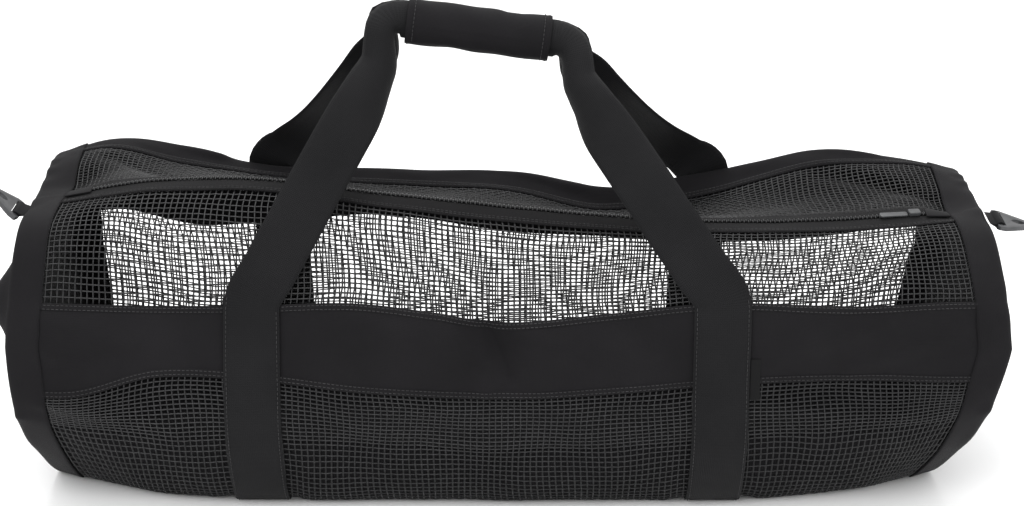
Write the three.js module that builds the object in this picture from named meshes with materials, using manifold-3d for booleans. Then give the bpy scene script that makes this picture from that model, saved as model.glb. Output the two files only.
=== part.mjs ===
// A long duffel bag of coarse coated net, empty and slumped, standing on a flat surface.
// X runs along the bag, -Y is its front and +Z is up, in millimetres. The bag stands on z = 0.
import * as THREE from 'three';
import Module from 'manifold-3d';
import { mergeVertices } from 'three/addons/utils/BufferGeometryUtils.js';

// Bag body
const BAG_LENGTH = 890;
const BAG_DEPTH = 304;
const BAG_HEIGHT = 300;
const CLOTH = 1.6;
const NET = 1.6;
const SEAM_GAP = 0.6;
const LAYER_GAP = 0.5;
const BASE_GAP = 1.5;
const BASE_SEAM_GAP = 0.6;
const TAB_GAP = { left: 1.3, right: 1.8 };
const STRAP_GAP = 1.2;
const TRIM_WIDTH = 27;
const END_RECESS = 3;
const END_BULGE = 7;
const NET_GRID = 60;
const NET_BORDER = 7;
const NARROWEST_PIERCED = 24;

// Zip
const ZIP_LENGTH = 770;
const TAPE_WIDTH = 13;
const COIL_WIDTH = 6;
const COIL_HEIGHT = 2.6;
const TAB_LENGTH = 28;
const TAB_WIDTH = 15;
const SLIDER_LENGTH = 11;
const SLIDER_WIDTH = 8;
const SLIDER_HEIGHT = 4;
const PULL_LENGTH = 26;
const PULL_WIDTH = 7;
const PULL_THICKNESS = 1.6;
const SLIDER_CORNER = 2;

// Carrying webbing and its wrap
const STRAP_WIDTH = 50;
const STRAP_THICKNESS = 2;
const STRAP_SPACING = 415;
const STRAP_CENTRE = -19;
const GRIP_LENGTH = 131;
const GRIP_WALL = 2.2;
const GRIP_CENTRE = [-27, 4, 420];
const GRIP_TILT = 0.13;
const GRIP_CURL = 1.535;
const GRIP_OVERRUN = 8;

// Rings at the ends, each on a round bar in a folded loop of webbing
const LOOP_WIDTH = 25;
const LOOP_THICKNESS = 1.6;
const LOOP_REACH = 6;
const LOOP_SEAT = { left: -0.5, right: 0.2 };
const RING_PLACE = 0.35;
const RING_DROOP = 0.1;
const RING_SWING = { left: 0.85, right: 0.1 };
const RING_THICKNESS = 4;
const RING_REACH = 33;
const RING_RIM = 4.5;
const RING_APEX = 6;
const RING_EYE_LENGTH = 12.6;
const RING_EYE_WIDTH = 8;
const RING_EYE_PLACE = 19;
const BAR_RADIUS = 2;
const RUNNING_GAP = 0.7;

// Side label
const LABEL_WIDTH = 9;
const LABEL_LENGTH = 38;
const LABEL_THICKNESS = 1;
const LABEL_ABOVE = 0.6;
const LABEL_BELOW = 1 - LABEL_ABOVE;

const COLOURS = {
  cloth: 0x211f23,
  net: 0x2a2a2c,
  webbing: 0x212224,
  zip: 0x1c1c1e,
  plastic: 0x3f4043,
  label: 0x1b1b1d,
};

const HALF_LENGTH = BAG_LENGTH / 2;
const STRAP_LIFT = STRAP_THICKNESS + STRAP_GAP;
const STRAP_BED = STRAP_WIDTH / 2 + 2;
const STRAP_SLOPE = 20;
const ZIP_END = ZIP_LENGTH / 2 / HALF_LENGTH;
const MARGIN = 0.001;
const STRAP_PLACES = [STRAP_CENTRE - STRAP_SPACING / 2, STRAP_CENTRE + STRAP_SPACING / 2];

// The closed section of the bag goes from the zip over the front, under the bottom and up the back.
// Each row is one station: x is a share of the half length, each Y a share of the depth from the front,
// and each Z a share of the height.
const STATION_COLUMNS = [
  'x', 'zipY', 'zipZ', 'shoulderZ', 'topY', 'topZ', 'lowZ', 'foldZ', 'floorY', 'seamZ', 'crestZ', 'nearZ',
];
const STATIONS = [
  [-1.0, 0.4, 0.9, 0.86, 0.07, 0.68, 0.41, 0.32, 0.36, 0.665, 0.94, 0.95],
  [-0.865, 0.39, 0.93, 0.87, 0.08, 0.67, 0.405, 0.3, 0.28, 0.7, 0.99, 0.98],
  [-0.7, 0.38, 0.96, 0.86, 0.09, 0.66, 0.47, 0.28, 0.19, 0.67, 0.955, 0.93],
  [-0.51, 0.37, 0.965, 0.85, 0.08, 0.665, 0.46, 0.27, 0.155, 0.69, 0.9, 0.885],
  [-0.29, 0.34, 0.935, 0.82, 0.055, 0.68, 0.42, 0.257, 0.15, 0.71, 0.89, 0.86],
  [0.0, 0.32, 0.893, 0.76, 0.053, 0.623, 0.4, 0.235, 0.15, 0.655, 0.873, 0.835],
  [0.2, 0.32, 0.865, 0.755, 0.053, 0.65, 0.415, 0.243, 0.15, 0.635, 0.83, 0.775],
  [0.42, 0.32, 0.847, 0.79, 0.035, 0.69, 0.443, 0.27, 0.15, 0.615, 0.875, 0.82],
  [0.67, 0.33, 0.85, 0.795, 0.03, 0.68, 0.46, 0.293, 0.2, 0.625, 0.945, 0.92],
  [0.865, 0.345, 0.865, 0.815, 0.04, 0.69, 0.453, 0.32, 0.29, 0.635, 0.925, 0.925],
  [1.0, 0.4, 0.873, 0.82, 0.06, 0.685, 0.453, 0.335, 0.36, 0.625, 0.88, 0.9],
].map((row) => Object.fromEntries(STATION_COLUMNS.map((name, i) => [name, row[i]])));

// Places that change only from the slumped middle to the rounder ends
const MIDDLE_PROFILE = {
  shoulderY: 0.165,
  lowY: 0.013,
  foldY: 0,
  floorBackY: 0.85,
  backLowY: 0.965,
  backLowZ: 0.15,
  bulgeZ: 0.36,
  seamY: 0.825,
  crestY: 0.743,
  nearY: 0.685,
  sag: 0.02,
};
const END_PROFILE = {
  shoulderY: 0.18,
  lowY: 0.015,
  foldY: 0.03,
  floorBackY: 0.66,
  backLowY: 0.915,
  backLowZ: 0.2,
  bulgeZ: 0.44,
  seamY: 0.95,
  crestY: 0.74,
  nearY: 0.67,
  sag: 0,
};
const END_BLEND_START = 0.6;

// How far the bottom and the top of each end lean in, as shares of the half length, on both sides of WIDEST
const WIDEST = 0.55;
const END_TUCK = {
  left: { low: 0.03, top: 0.025 },
  right: { low: 0.09, top: 0.032 },
};
const TUCK_START = 0.72;

// Soft dents and folds of the cloth: x is a share of the half length, at counts along the section's
// features, spanX and spanAt are half widths, and out is a share of the depth that the cloth stands out
const FOLDS = [
  { x: -0.04, at: 2.25, spanX: 0.05, spanAt: 0.35, out: -0.03 },
  { x: -0.14, at: 2.35, spanX: 0.06, spanAt: 0.4, out: 0.02 },
  { x: 0.08, at: 2.4, spanX: 0.06, spanAt: 0.4, out: 0.02 },
  { x: -0.88, at: 2.3, spanX: 0.08, spanAt: 0.3, out: 0.02 },
  { x: 0.62, at: 2.2, spanX: 0.07, spanAt: 0.4, out: 0.02 },
  { x: -0.92, at: 13.4, spanX: 0.06, spanAt: 0.6, out: -0.03 },
  { x: 0.93, at: 13.6, spanX: 0.05, spanAt: 0.6, out: -0.035 },
];

// Folds of the slack ends: y and z are shares of the depth and height, spanY and spanZ half widths
const END_FOLDS = [
  { side: -1, y: 0.12, z: 0.68, spanY: 0.13, spanZ: 0.09, out: 0.075 },
];
const END_RINGS = [1, 0.88, 0.68, 0.4];
const END_HOLD = 0.12;

// Places round the section, counted from the zip
const FEATURES = { zip: 0, top: 2, low: 3, floorFront: 5, floorBack: 7, seam: 10, near: 12 };
const FEATURE_COUNT = 14;
const LOW_MARKS = [3, 4, 4.5, 5, 6, 7, 8, 9, 9.5, 10];
const BASE_MARKS = [4, 4.5, 5, 6, 7, 8];
const TRIM_MARKS = [
  0, 0.5, 1, 1.35, 1.7, 2, 2.333, 2.667, 3, 3.5, 4, 4.5, 5, 6,
  7, 7.5, 8, 8.5, 9, 9.5, 10, 10.5, 11, 11.5, 12, 13, 13.5,
];

// Places that each strap lies on, from the middle of the bottom to where it leaves the bag
const FRONT_LAY = [6, 5, 4.5, 4, 3, 2.667, 2.333, 2];
const BACK_LAY = [6, 7, 8, 9, 9.5, 10, 10.5, 11];

// Each strap's way from the bag to its wrap, a row per place: way is the share of it, out and up are how
// far the strap stands off the straight line, as shares of its width, turn is how far its face turns
// towards the end of the bag, lean is how far it faces up, and curl is its share of the curl in the wrap
const FRONT_RISE = [
  { way: 0.14, out: 0.17, up: 0.04, turn: 0, lean: 0.35, curl: 0 },
  { way: 0.32, out: 0.27, up: 0, turn: 0, lean: 0.35, curl: 0 },
  { way: 0.5, out: 0.3, up: -0.04, turn: 0, lean: 0.3, curl: 0.05 },
  { way: 0.68, out: 0.28, up: -0.12, turn: 0, lean: 0.1, curl: 0.2 },
  { way: 0.82, out: 0.22, up: -0.26, turn: 0, lean: -0.3, curl: 0.5 },
  { way: 0.92, out: 0.14, up: -0.34, turn: 0, lean: -0.7, curl: 0.85 },
];
const BACK_RISE = [
  { way: 0.14, out: 0.1, up: -0.04, turn: 0.35, lean: 0.35, curl: 0 },
  { way: 0.32, out: 0.1, up: -0.08, turn: 0.7, lean: 0.35, curl: 0 },
  { way: 0.5, out: 0.1, up: -0.12, turn: 0.75, lean: 0.3, curl: 0.05 },
  { way: 0.68, out: 0.12, up: -0.2, turn: 0.6, lean: 0.1, curl: 0.2 },
  { way: 0.82, out: 0.16, up: -0.3, turn: 0.3, lean: -0.3, curl: 0.5 },
  { way: 0.92, out: 0.12, up: -0.34, turn: 0, lean: -0.7, curl: 0.85 },
];

// Small steps that slopes of the skin are taken over
const STEP_ALONG = 0.01;
const STEP_ROUND = 0.03;

// Smooth value through the table's rows at a place along x
function columnAt(name, x) {
  let i = 0;
  while (i < STATIONS.length - 2 && x > STATIONS[i + 1].x) i += 1;
  const before = STATIONS[Math.max(i - 1, 0)];
  const a = STATIONS[i];
  const b = STATIONS[i + 1];
  const after = STATIONS[Math.min(i + 2, STATIONS.length - 1)];
  const span = b.x - a.x;
  const k = (x - a.x) / span;
  const slopeA = (b[name] - before[name]) / (b.x - before.x);
  const slopeB = (after[name] - a[name]) / (after.x - a.x);
  const h00 = 2 * k ** 3 - 3 * k ** 2 + 1;
  const h10 = k ** 3 - 2 * k ** 2 + k;
  const h01 = -2 * k ** 3 + 3 * k ** 2;
  const h11 = k ** 3 - k ** 2;
  return h00 * a[name] + h10 * span * slopeA + h01 * b[name] + h11 * span * slopeB;
}

function smooth(low, high, value) {
  const k = Math.min(Math.max((value - low) / (high - low), 0), 1);
  return k * k * (3 - 2 * k);
}

// The section's features at x, in y and z
function features(x) {
  const k = smooth(END_BLEND_START, 1, Math.abs(x));
  const profile = (name) => MIDDLE_PROFILE[name] + (END_PROFILE[name] - MIDDLE_PROFILE[name]) * k;
  const column = (name) => columnAt(name, x);
  const zip = [column('zipY'), column('zipZ')];
  const near = [profile('nearY'), column('nearZ')];
  const shares = [
    zip,
    [profile('shoulderY'), column('shoulderZ')],
    [column('topY'), column('topZ')],
    [profile('lowY'), column('lowZ')],
    [profile('foldY'), column('foldZ')],
    [column('floorY'), 0],
    [0.5, 0],
    [profile('floorBackY'), 0],
    [profile('backLowY'), profile('backLowZ')],
    [1, profile('bulgeZ')],
    [profile('seamY'), column('seamZ')],
    [profile('crestY'), column('crestZ')],
    near,
    [(zip[0] + near[0]) / 2, (zip[1] + near[1]) / 2 - profile('sag')],
  ];
  return shares.map(([y, z]) => new THREE.Vector3(0, (y - 0.5) * BAG_DEPTH, z * BAG_HEIGHT));
}

const sectionCache = new Map();

function section(x) {
  const key = x.toFixed(6);
  if (!sectionCache.has(key)) {
    sectionCache.set(key, new THREE.CatmullRomCurve3(features(x), true, 'centripetal'));
  }
  return sectionCache.get(key);
}

// How far the skin is lifted where webbing passes under it
function liftAt(x) {
  const slope = (place) => smooth(STRAP_BED, STRAP_BED + STRAP_SLOPE, Math.abs(x * HALF_LENGTH - place));
  const lifts = STRAP_PLACES.map((place) => 1 - slope(place));
  return STRAP_LIFT * Math.max(...lifts);
}

function tuckAt(x, height) {
  const end = x < 0 ? END_TUCK.left : END_TUCK.right;
  const share = height / BAG_HEIGHT;
  const lean = share < WIDEST ? end.low * (1 - share / WIDEST) : end.top * (share - WIDEST) / (1 - WIDEST);
  return Math.sign(x) * lean * HALF_LENGTH * smooth(TUCK_START, 1, Math.abs(x));
}

// A point of the bag's outer skin: x is a share of the half length, at counts along the features
function unfoldedSkin(x, at) {
  const wrapped = ((at % FEATURE_COUNT) + FEATURE_COUNT) % FEATURE_COUNT;
  const point = section(x).getPoint(wrapped / FEATURE_COUNT);
  const lift = liftAt(x);
  point.z = Math.max(point.z, 0);
  point.z += lift * Math.max(1 - point.z / (BAG_HEIGHT / 4), 0);
  point.x = x * HALF_LENGTH - tuckAt(x, point.z);
  return point;
}

function unfoldedNormal(x, at) {
  const along = unfoldedSkin(x + STEP_ALONG, at).sub(unfoldedSkin(x - STEP_ALONG, at));
  const round = unfoldedSkin(x, at + STEP_ROUND).sub(unfoldedSkin(x, at - STEP_ROUND));
  return round.cross(along).normalize();
}

function skin(x, at) {
  const point = unfoldedSkin(x, at);
  const normal = unfoldedNormal(x, at);
  for (const fold of FOLDS) {
    const dx = (x - fold.x) / fold.spanX;
    const round = (at - fold.at + FEATURE_COUNT * 1.5) % FEATURE_COUNT - FEATURE_COUNT / 2;
    const da = round / fold.spanAt;
    point.addScaledVector(normal, fold.out * BAG_DEPTH * Math.exp(-dx * dx - da * da));
  }
  return point;
}

function skinNormal(x, at) {
  const along = skin(x + STEP_ALONG, at).sub(skin(x - STEP_ALONG, at));
  const round = skin(x, at + STEP_ROUND).sub(skin(x, at - STEP_ROUND));
  return round.cross(along).normalize();
}

// Walks along the section from one feature by a distance, and returns the place reached
function stepFrom(x, at, distance) {
  const steps = 12;
  let place = at;
  for (let i = 0; i < steps; i += 1) {
    const ahead = unfoldedSkin(x, place + STEP_ROUND);
    const rate = ahead.distanceTo(unfoldedSkin(x, place - STEP_ROUND)) / STEP_ROUND / 2;
    place += distance / steps / rate;
  }
  return place;
}

// Collects triangles of a closed solid
class Solid {
  constructor() {
    this.positions = [];
  }

  triangle(a, b, c) {
    this.positions.push(a.x, a.y, a.z, b.x, b.y, b.z, c.x, c.y, c.z);
  }

  quad(a, b, c, d) {
    this.triangle(a, b, c);
    this.triangle(a, c, d);
  }

  geometry() {
    const geometry = new THREE.BufferGeometry();
    geometry.setAttribute('position', new THREE.Float32BufferAttribute(this.positions, 3));
    geometry.computeVertexNormals();
    return geometry;
  }
}

function spread(from, to, steps) {
  return Array.from({ length: steps + 1 }, (_, i) => from + (to - from) * i / steps);
}

// Lines across the bag, with lines of their own along both edges of each strap and at both ends of the zip
function columns(from, to) {
  const steps = Math.max(Math.round((to - from) * HALF_LENGTH / NET_GRID), 1);
  const offsets = [-STRAP_BED - STRAP_SLOPE, -STRAP_BED, 0, STRAP_BED, STRAP_BED + STRAP_SLOPE];
  const edges = STRAP_PLACES.flatMap((place) => offsets.map((offset) => (place + offset) / HALF_LENGTH));
  const marks = [...edges, -ZIP_END, ZIP_END].filter((x) => x > from + MARGIN && x < to - MARGIN);
  const clear = NET_GRID / HALF_LENGTH / 4;
  const isClear = (x) => marks.every((mark) => Math.abs(mark - x) > clear);
  const even = spread(from, to, steps).filter((x, i) => i === 0 || i === steps || isClear(x));
  return [...even, ...marks].sort((a, b) => a - b);
}

function lerp(a, b, k) {
  return a.clone().lerp(b, k);
}

// A wall between two skins of points: outer and inner are grids [row][column], and pierced says
// which cells are cut through
function wallSolid(outer, inner, pierced = () => false, closedRows = false) {
  const solid = new Solid();
  const rows = outer.length;
  const cols = outer[0].length;
  const lastRow = closedRows ? rows : rows - 1;
  for (let r = 0; r < lastRow; r += 1) {
    const s = (r + 1) % rows;
    for (let c = 0; c < cols - 1; c += 1) {
      const out = [outer[r][c], outer[s][c], outer[s][c + 1], outer[r][c + 1]];
      const back = [inner[r][c], inner[s][c], inner[s][c + 1], inner[r][c + 1]];
      if (pierced(r, c)) {
        pierceCell(solid, out, back);
      } else {
        solid.quad(...out);
        solid.quad(back[0], back[3], back[2], back[1]);
      }
    }
    solid.quad(outer[r][0], inner[r][0], inner[s][0], outer[s][0]);
    solid.quad(outer[s][cols - 1], inner[s][cols - 1], inner[r][cols - 1], outer[r][cols - 1]);
  }
  if (!closedRows) {
    for (let c = 0; c < cols - 1; c += 1) {
      const e = rows - 1;
      solid.quad(outer[0][c + 1], inner[0][c + 1], inner[0][c], outer[0][c]);
      solid.quad(outer[e][c], inner[e][c], inner[e][c + 1], outer[e][c + 1]);
    }
  }
  return solid.geometry();
}

// One cell of a wall with a window cut through it, NET_BORDER from each side
function pierceCell(solid, out, back) {
  const window = (corners) => {
    const wide = (corners[0].distanceTo(corners[3]) + corners[1].distanceTo(corners[2])) / 2;
    const tall = (corners[0].distanceTo(corners[1]) + corners[3].distanceTo(corners[2])) / 2;
    const kw = NET_BORDER / wide;
    const kt = NET_BORDER / tall;
    return [[kt, kw], [1 - kt, kw], [1 - kt, 1 - kw], [kt, 1 - kw]].map(([down, over]) => {
      const left = lerp(corners[0], corners[1], down);
      const right = lerp(corners[3], corners[2], down);
      return lerp(left, right, over);
    });
  };
  const front = window(out);
  const rear = window(back);
  for (let i = 0; i < 4; i += 1) {
    const j = (i + 1) % 4;
    solid.quad(out[i], out[j], front[j], front[i]);
    solid.quad(back[j], back[i], rear[i], rear[j]);
    solid.quad(front[i], front[j], rear[j], rear[i]);
  }
}

// A panel of the bag: rows are places along the section, given for each column of x
function panelWall({ xs, rowsAt, rowCount, outAt = () => 0, thickness, pierced }) {
  const outer = [];
  const inner = [];
  for (let r = 0; r <= rowCount; r += 1) {
    const outerRow = [];
    const innerRow = [];
    for (const x of xs) {
      const at = rowsAt(x, r / rowCount);
      const point = skin(x, at);
      const normal = skinNormal(x, at);
      const out = outAt(r / rowCount);
      outerRow.push(point.clone().addScaledVector(normal, out));
      innerRow.push(point.clone().addScaledVector(normal, out - thickness));
    }
    outer.push(outerRow);
    inner.push(innerRow);
  }
  return wallSolid(outer, inner, pierced);
}

function material(slot, roughness) {
  return new THREE.MeshStandardMaterial({ color: COLOURS[slot], roughness, metalness: 0 });
}

const CLOTH_LOOK = material('cloth', 0.85);
const NET_LOOK = material('net', 0.5);
const WEBBING_LOOK = material('webbing', 0.8);
const ZIP_LOOK = material('zip', 0.6);
const PLASTIC_LOOK = material('plastic', 0.45);
const LABEL_LOOK = material('label', 0.7);

const bag = new THREE.Group();

function add(name, geometry, look) {
  const mesh = new THREE.Mesh(geometry, look);
  mesh.name = name;
  bag.add(mesh);
  return mesh;
}

const PANEL_END = (HALF_LENGTH - TRIM_WIDTH - SEAM_GAP) / HALF_LENGTH;
const PANEL_COLUMNS = columns(-PANEL_END, PANEL_END);
const ZIP_HALF = COIL_WIDTH / 2 + SEAM_GAP + TAPE_WIDTH;

// Places between two features, each moved by a distance along the section
function between(start, startShift, end, endShift) {
  return (x, k) => {
    const a = startShift === 0 ? start : stepFrom(x, start, startShift);
    const b = endShift === 0 ? end : stepFrom(x, end, endShift);
    return a + (b - a) * k;
  };
}

const HALF_GAP = SEAM_GAP / 2;
const UPPER_ROWS = 3;
const LOW_ROWS = LOW_MARKS.length - 1;
const LOW_PIERCED_FROM = LOW_ROWS - 3;

function isPierced(xs, c) {
  const wide = (xs[c + 1] - xs[c]) * HALF_LENGTH;
  const middle = (xs[c + 1] + xs[c]) / 2 * HALF_LENGTH;
  return wide > NARROWEST_PIERCED && STRAP_PLACES.every((place) => Math.abs(middle - place) > STRAP_BED);
}

// Net panels, cut through by a coarse grid of windows
function netPanels() {
  const xs = PANEL_COLUMNS;
  add('front_upper_mesh', panelWall({
    xs,
    rowsAt: between(FEATURES.zip, ZIP_HALF + SEAM_GAP, FEATURES.top, -HALF_GAP),
    rowCount: UPPER_ROWS,
    thickness: NET,
    pierced: (r, c) => isPierced(xs, c),
  }), NET_LOOK);
  add('back_upper_mesh', panelWall({
    xs,
    rowsAt: between(FEATURES.near, HALF_GAP, FEATURE_COUNT, -ZIP_HALF - SEAM_GAP),
    rowCount: UPPER_ROWS,
    thickness: NET,
    pierced: (r, c) => isPierced(xs, c),
  }), NET_LOOK);
  add('lower_mesh', panelWall({
    xs,
    rowsAt: lowPlaces(HALF_GAP, -HALF_GAP),
    rowCount: LOW_ROWS,
    thickness: NET,
    pierced: (r, c) => (r === 0 || r >= LOW_PIERCED_FROM) && isPierced(xs, c),
  }), NET_LOOK);
}

// Rows of the lower net, one on each feature from the front band's lower seam to the back band's
function lowPlaces(startShift, endShift) {
  return (x, k) => {
    const i = Math.round(k * LOW_ROWS);
    if (i === 0) return stepFrom(x, FEATURES.low, startShift);
    if (i === LOW_ROWS) return stepFrom(x, FEATURES.seam, endShift);
    return LOW_MARKS[i];
  };
}

function clothPanels() {
  const xs = PANEL_COLUMNS;
  add('front_band', panelWall({
    xs,
    rowsAt: between(FEATURES.top, HALF_GAP, FEATURES.low, -HALF_GAP),
    rowCount: 3,
    thickness: CLOTH,
  }), CLOTH_LOOK);
  add('back_band', panelWall({
    xs,
    rowsAt: between(FEATURES.seam, HALF_GAP, FEATURES.near, -HALF_GAP),
    rowCount: 4,
    thickness: CLOTH,
  }), CLOTH_LOOK);
  add('base_panel', panelWall({
    xs,
    rowsAt: (x, k) => BASE_MARKS[Math.round(k * (BASE_MARKS.length - 1))],
    rowCount: BASE_MARKS.length - 1,
    outAt: (k) => -NET - (k === 0 || k === 1 ? BASE_SEAM_GAP : BASE_GAP),
    thickness: CLOTH,
  }), CLOTH_LOOK);
}

// Woven strips bound round both ends, each a closed band
function endTrims() {
  for (const [name, side] of [['end_trim_left', -1], ['end_trim_right', 1]]) {
    const seam = side * (PANEL_END + SEAM_GAP / HALF_LENGTH);
    const xs = [side, seam].sort((a, b) => a - b);
    const place = (x, at, depth) => skin(x, at).addScaledVector(skinNormal(x, at), -depth);
    const ring = (depth) => TRIM_MARKS.map((at) => xs.map((x) => place(x, at, depth)));
    add(name, wallSolid(ring(0), ring(CLOTH), () => false, true), CLOTH_LOOK);
  }
}

// How far an end panel stands out at a place: slack all over, with the folds of END_FOLDS
function endOut(side, point, share) {
  let out = END_BULGE * (1 - share * share);
  for (const fold of END_FOLDS) {
    const dy = (point.y / BAG_DEPTH + 0.5 - fold.y) / fold.spanY;
    const dz = (point.z / BAG_HEIGHT - fold.z) / fold.spanZ;
    const held = smooth(0, END_HOLD, 1 - share);
    out += fold.side === side ? fold.out * BAG_DEPTH * held * Math.exp(-dy * dy - dz * dz) : 0;
  }
  return out;
}

// Round ends of slack cloth, set just inside the trims
function endPanels() {
  for (const [name, side] of [['end_panel_left', -1], ['end_panel_right', 1]]) {
    const inset = CLOTH + LAYER_GAP * 2;
    const inside = (x, at) => skin(x, at).addScaledVector(skinNormal(x, at), -inset);
    const recess = END_RECESS / TRIM_WIDTH;
    const rim = TRIM_MARKS.map((at) => lerp(inside(side, at), inside(side * PANEL_END, at), recess));
    const sum = rim.reduce((total, p) => total.add(p), new THREE.Vector3());
    const centre = sum.multiplyScalar(1 / rim.length);
    const place = (p, share, depth) => {
      const q = lerp(centre, p, share);
      q.x += side * (endOut(side, q, share) - depth);
      return q;
    };
    const grid = (depth) => rim.map((p) => END_RINGS.map((share) => place(p, share, depth)));
    const solid = new Solid();
    const outer = grid(0);
    const inner = grid(CLOTH);
    const tipOut = place(centre, 0, 0);
    const tipIn = place(centre, 0, CLOTH);
    const face = (a, b, c, d) => (side > 0 ? solid.quad(d, c, b, a) : solid.quad(a, b, c, d));
    const tip = (a, b, c) => (side > 0 ? solid.triangle(c, b, a) : solid.triangle(a, b, c));
    const last = END_RINGS.length - 1;
    for (let i = 0; i < rim.length; i += 1) {
      const j = (i + 1) % rim.length;
      for (let k = 0; k < last; k += 1) {
        face(outer[i][k], outer[i][k + 1], outer[j][k + 1], outer[j][k]);
        face(inner[j][k], inner[j][k + 1], inner[i][k + 1], inner[i][k]);
      }
      tip(outer[i][last], tipOut, outer[j][last]);
      tip(inner[j][last], tipIn, inner[i][last]);
      face(inner[i][0], outer[i][0], outer[j][0], inner[j][0]);
    }
    add(name, solid.geometry(), CLOTH_LOOK);
  }
}

// Zip: two tapes and the closed coil between them
function zip() {
  const xs = PANEL_COLUMNS;
  add('zip_tape_front', panelWall({
    xs,
    rowsAt: between(FEATURES.zip, COIL_WIDTH / 2 + SEAM_GAP, FEATURES.zip, ZIP_HALF),
    rowCount: 1,
    thickness: CLOTH,
  }), ZIP_LOOK);
  add('zip_tape_back', panelWall({
    xs,
    rowsAt: between(FEATURE_COUNT, -ZIP_HALF, FEATURE_COUNT, -COIL_WIDTH / 2 - SEAM_GAP),
    rowCount: 1,
    thickness: CLOTH,
  }), ZIP_LOOK);
  add('zip_coil', panelWall({
    xs: xs.filter((x) => Math.abs(x) < ZIP_END + MARGIN),
    rowsAt: between(FEATURES.zip, -COIL_WIDTH / 2, FEATURES.zip, COIL_WIDTH / 2),
    rowCount: 1,
    outAt: () => (COIL_HEIGHT - CLOTH) / 2,
    thickness: COIL_HEIGHT,
  }), ZIP_LOOK);
}

// Sweeps a strip of webbing along points, each with its own outward normal and curl.
// A curl is half the angle that the strip's width bends through, away from its normal.
function ribbon(stations, width, thickness, across = 2) {
  const outer = [];
  const inner = [];
  stations.forEach((station, i) => {
    const before = stations[Math.max(i - 1, 0)].point;
    const after = stations[Math.min(i + 1, stations.length - 1)].point;
    const forward = after.clone().sub(before).normalize();
    const side = station.side ?? new THREE.Vector3().crossVectors(station.normal, forward).normalize();
    const level = new THREE.Vector3().crossVectors(forward, side).normalize();
    const normal = station.side ? station.normal : level;
    const curl = Math.max(station.curl ?? 0, 0.001);
    const radius = width / 2 / curl;
    const row = (shift) => spread(-1, 1, across).map((k) => {
      const r = radius + shift;
      return station.point.clone()
        .addScaledVector(side, r * Math.sin(k * curl))
        .addScaledVector(normal, r * Math.cos(k * curl) - radius);
    });
    outer.push(row(thickness / 2));
    inner.push(row(-thickness / 2));
  });
  return wallSolid(outer, inner);
}

const GRIP = {
  centre: new THREE.Vector3(...GRIP_CENTRE),
  along: new THREE.Vector3(Math.cos(GRIP_TILT), 0, -Math.sin(GRIP_TILT)),
};
const STRAP_RADIUS = STRAP_WIDTH / 2 / GRIP_CURL;
const GRIP_BORE = STRAP_RADIUS + STRAP_THICKNESS / 2 + LAYER_GAP;

// One strap: up from the bottom at the left, over through the grip, and down at the right
function carryStrap(lay, way, facing) {
  const [left, right] = STRAP_PLACES;
  const laid = (place, heading) => lay.map((at, i) => {
    const onSkin = (x) => skin(x, at).addScaledVector(skinNormal(x, at), STRAP_GAP + STRAP_THICKNESS / 2);
    const edges = [-1, 1].map((k) => (place + k * STRAP_BED) / HALF_LENGTH);
    const ends = edges.map(onSkin);
    const normal = lerp(skinNormal(edges[0], at), skinNormal(edges[1], at), 0.5).normalize();
    const point = lerp(ends[0], ends[1], 0.5);
    const side = ends[1].clone().sub(ends[0]).normalize().multiplyScalar(heading);
    if (i === 0) {
      point.y += facing * SEAM_GAP / 2;
    }
    if (at >= FEATURES.floorFront && at <= FEATURES.floorBack) {
      point.z = STRAP_THICKNESS / 2;
      normal.set(0, 0, -1);
      side.set(heading, 0, 0);
    }
    return { point, normal, side };
  });
  const reach = GRIP_LENGTH / 2;
  const front = new THREE.Vector3(0, facing, 0);
  const inGrip = spread(-1, 1, 4).map((k) => ({
    point: GRIP.centre.clone()
      .addScaledVector(GRIP.along, k * (reach + GRIP_OVERRUN))
      .addScaledVector(front, STRAP_RADIUS),
    normal: front.clone(),
    side: front.clone().cross(GRIP.along).normalize(),
    curl: GRIP_CURL,
  }));
  const rise = (start, end, outward) => way.map((row) => {
    const point = lerp(start.point, end.point, row.way);
    point.y += facing * row.out * STRAP_WIDTH;
    point.z += row.up * STRAP_WIDTH;
    const normal = new THREE.Vector3(outward * Math.sin(row.turn), facing * Math.cos(row.turn), row.lean);
    return { point, normal: normal.normalize(), curl: GRIP_CURL * row.curl };
  });
  const leftLay = laid(left, facing);
  const rightLay = laid(right, -facing);
  const up = rise(leftLay[leftLay.length - 1], inGrip[0], -1);
  const down = rise(rightLay[rightLay.length - 1], inGrip[inGrip.length - 1], 1);
  const stations = [...leftLay, ...up, ...inGrip, ...down.reverse(), ...rightLay.reverse()];
  return ribbon(stations, STRAP_WIDTH, STRAP_THICKNESS, 4);
}

function carryStraps() {
  add('carry_strap_front', carryStrap(FRONT_LAY, FRONT_RISE, -1), WEBBING_LOOK);
  add('carry_strap_back', carryStrap(BACK_LAY, BACK_RISE, 1), WEBBING_LOOK);
}

// Round wrap that holds both straps together
function grip() {
  const sides = 16;
  const reach = GRIP_LENGTH / 2;
  const up = new THREE.Vector3(0, 1, 0).cross(GRIP.along).normalize();
  const front = new THREE.Vector3(0, 1, 0);
  const ring = (radius) => Array.from({ length: sides }, (_, i) => {
    const angle = -i / sides * Math.PI * 2;
    return spread(-1, 1, 4).map((k) => GRIP.centre.clone()
      .addScaledVector(GRIP.along, k * reach)
      .addScaledVector(front, radius * Math.cos(angle))
      .addScaledVector(up, radius * Math.sin(angle)));
  });
  const round = 1 / Math.cos(Math.PI / sides);
  const outside = ring((GRIP_BORE + GRIP_WALL) * round);
  add('grip_wrap', wallSolid(outside, ring(GRIP_BORE * round), () => false, true), CLOTH_LOOK);
}

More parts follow.
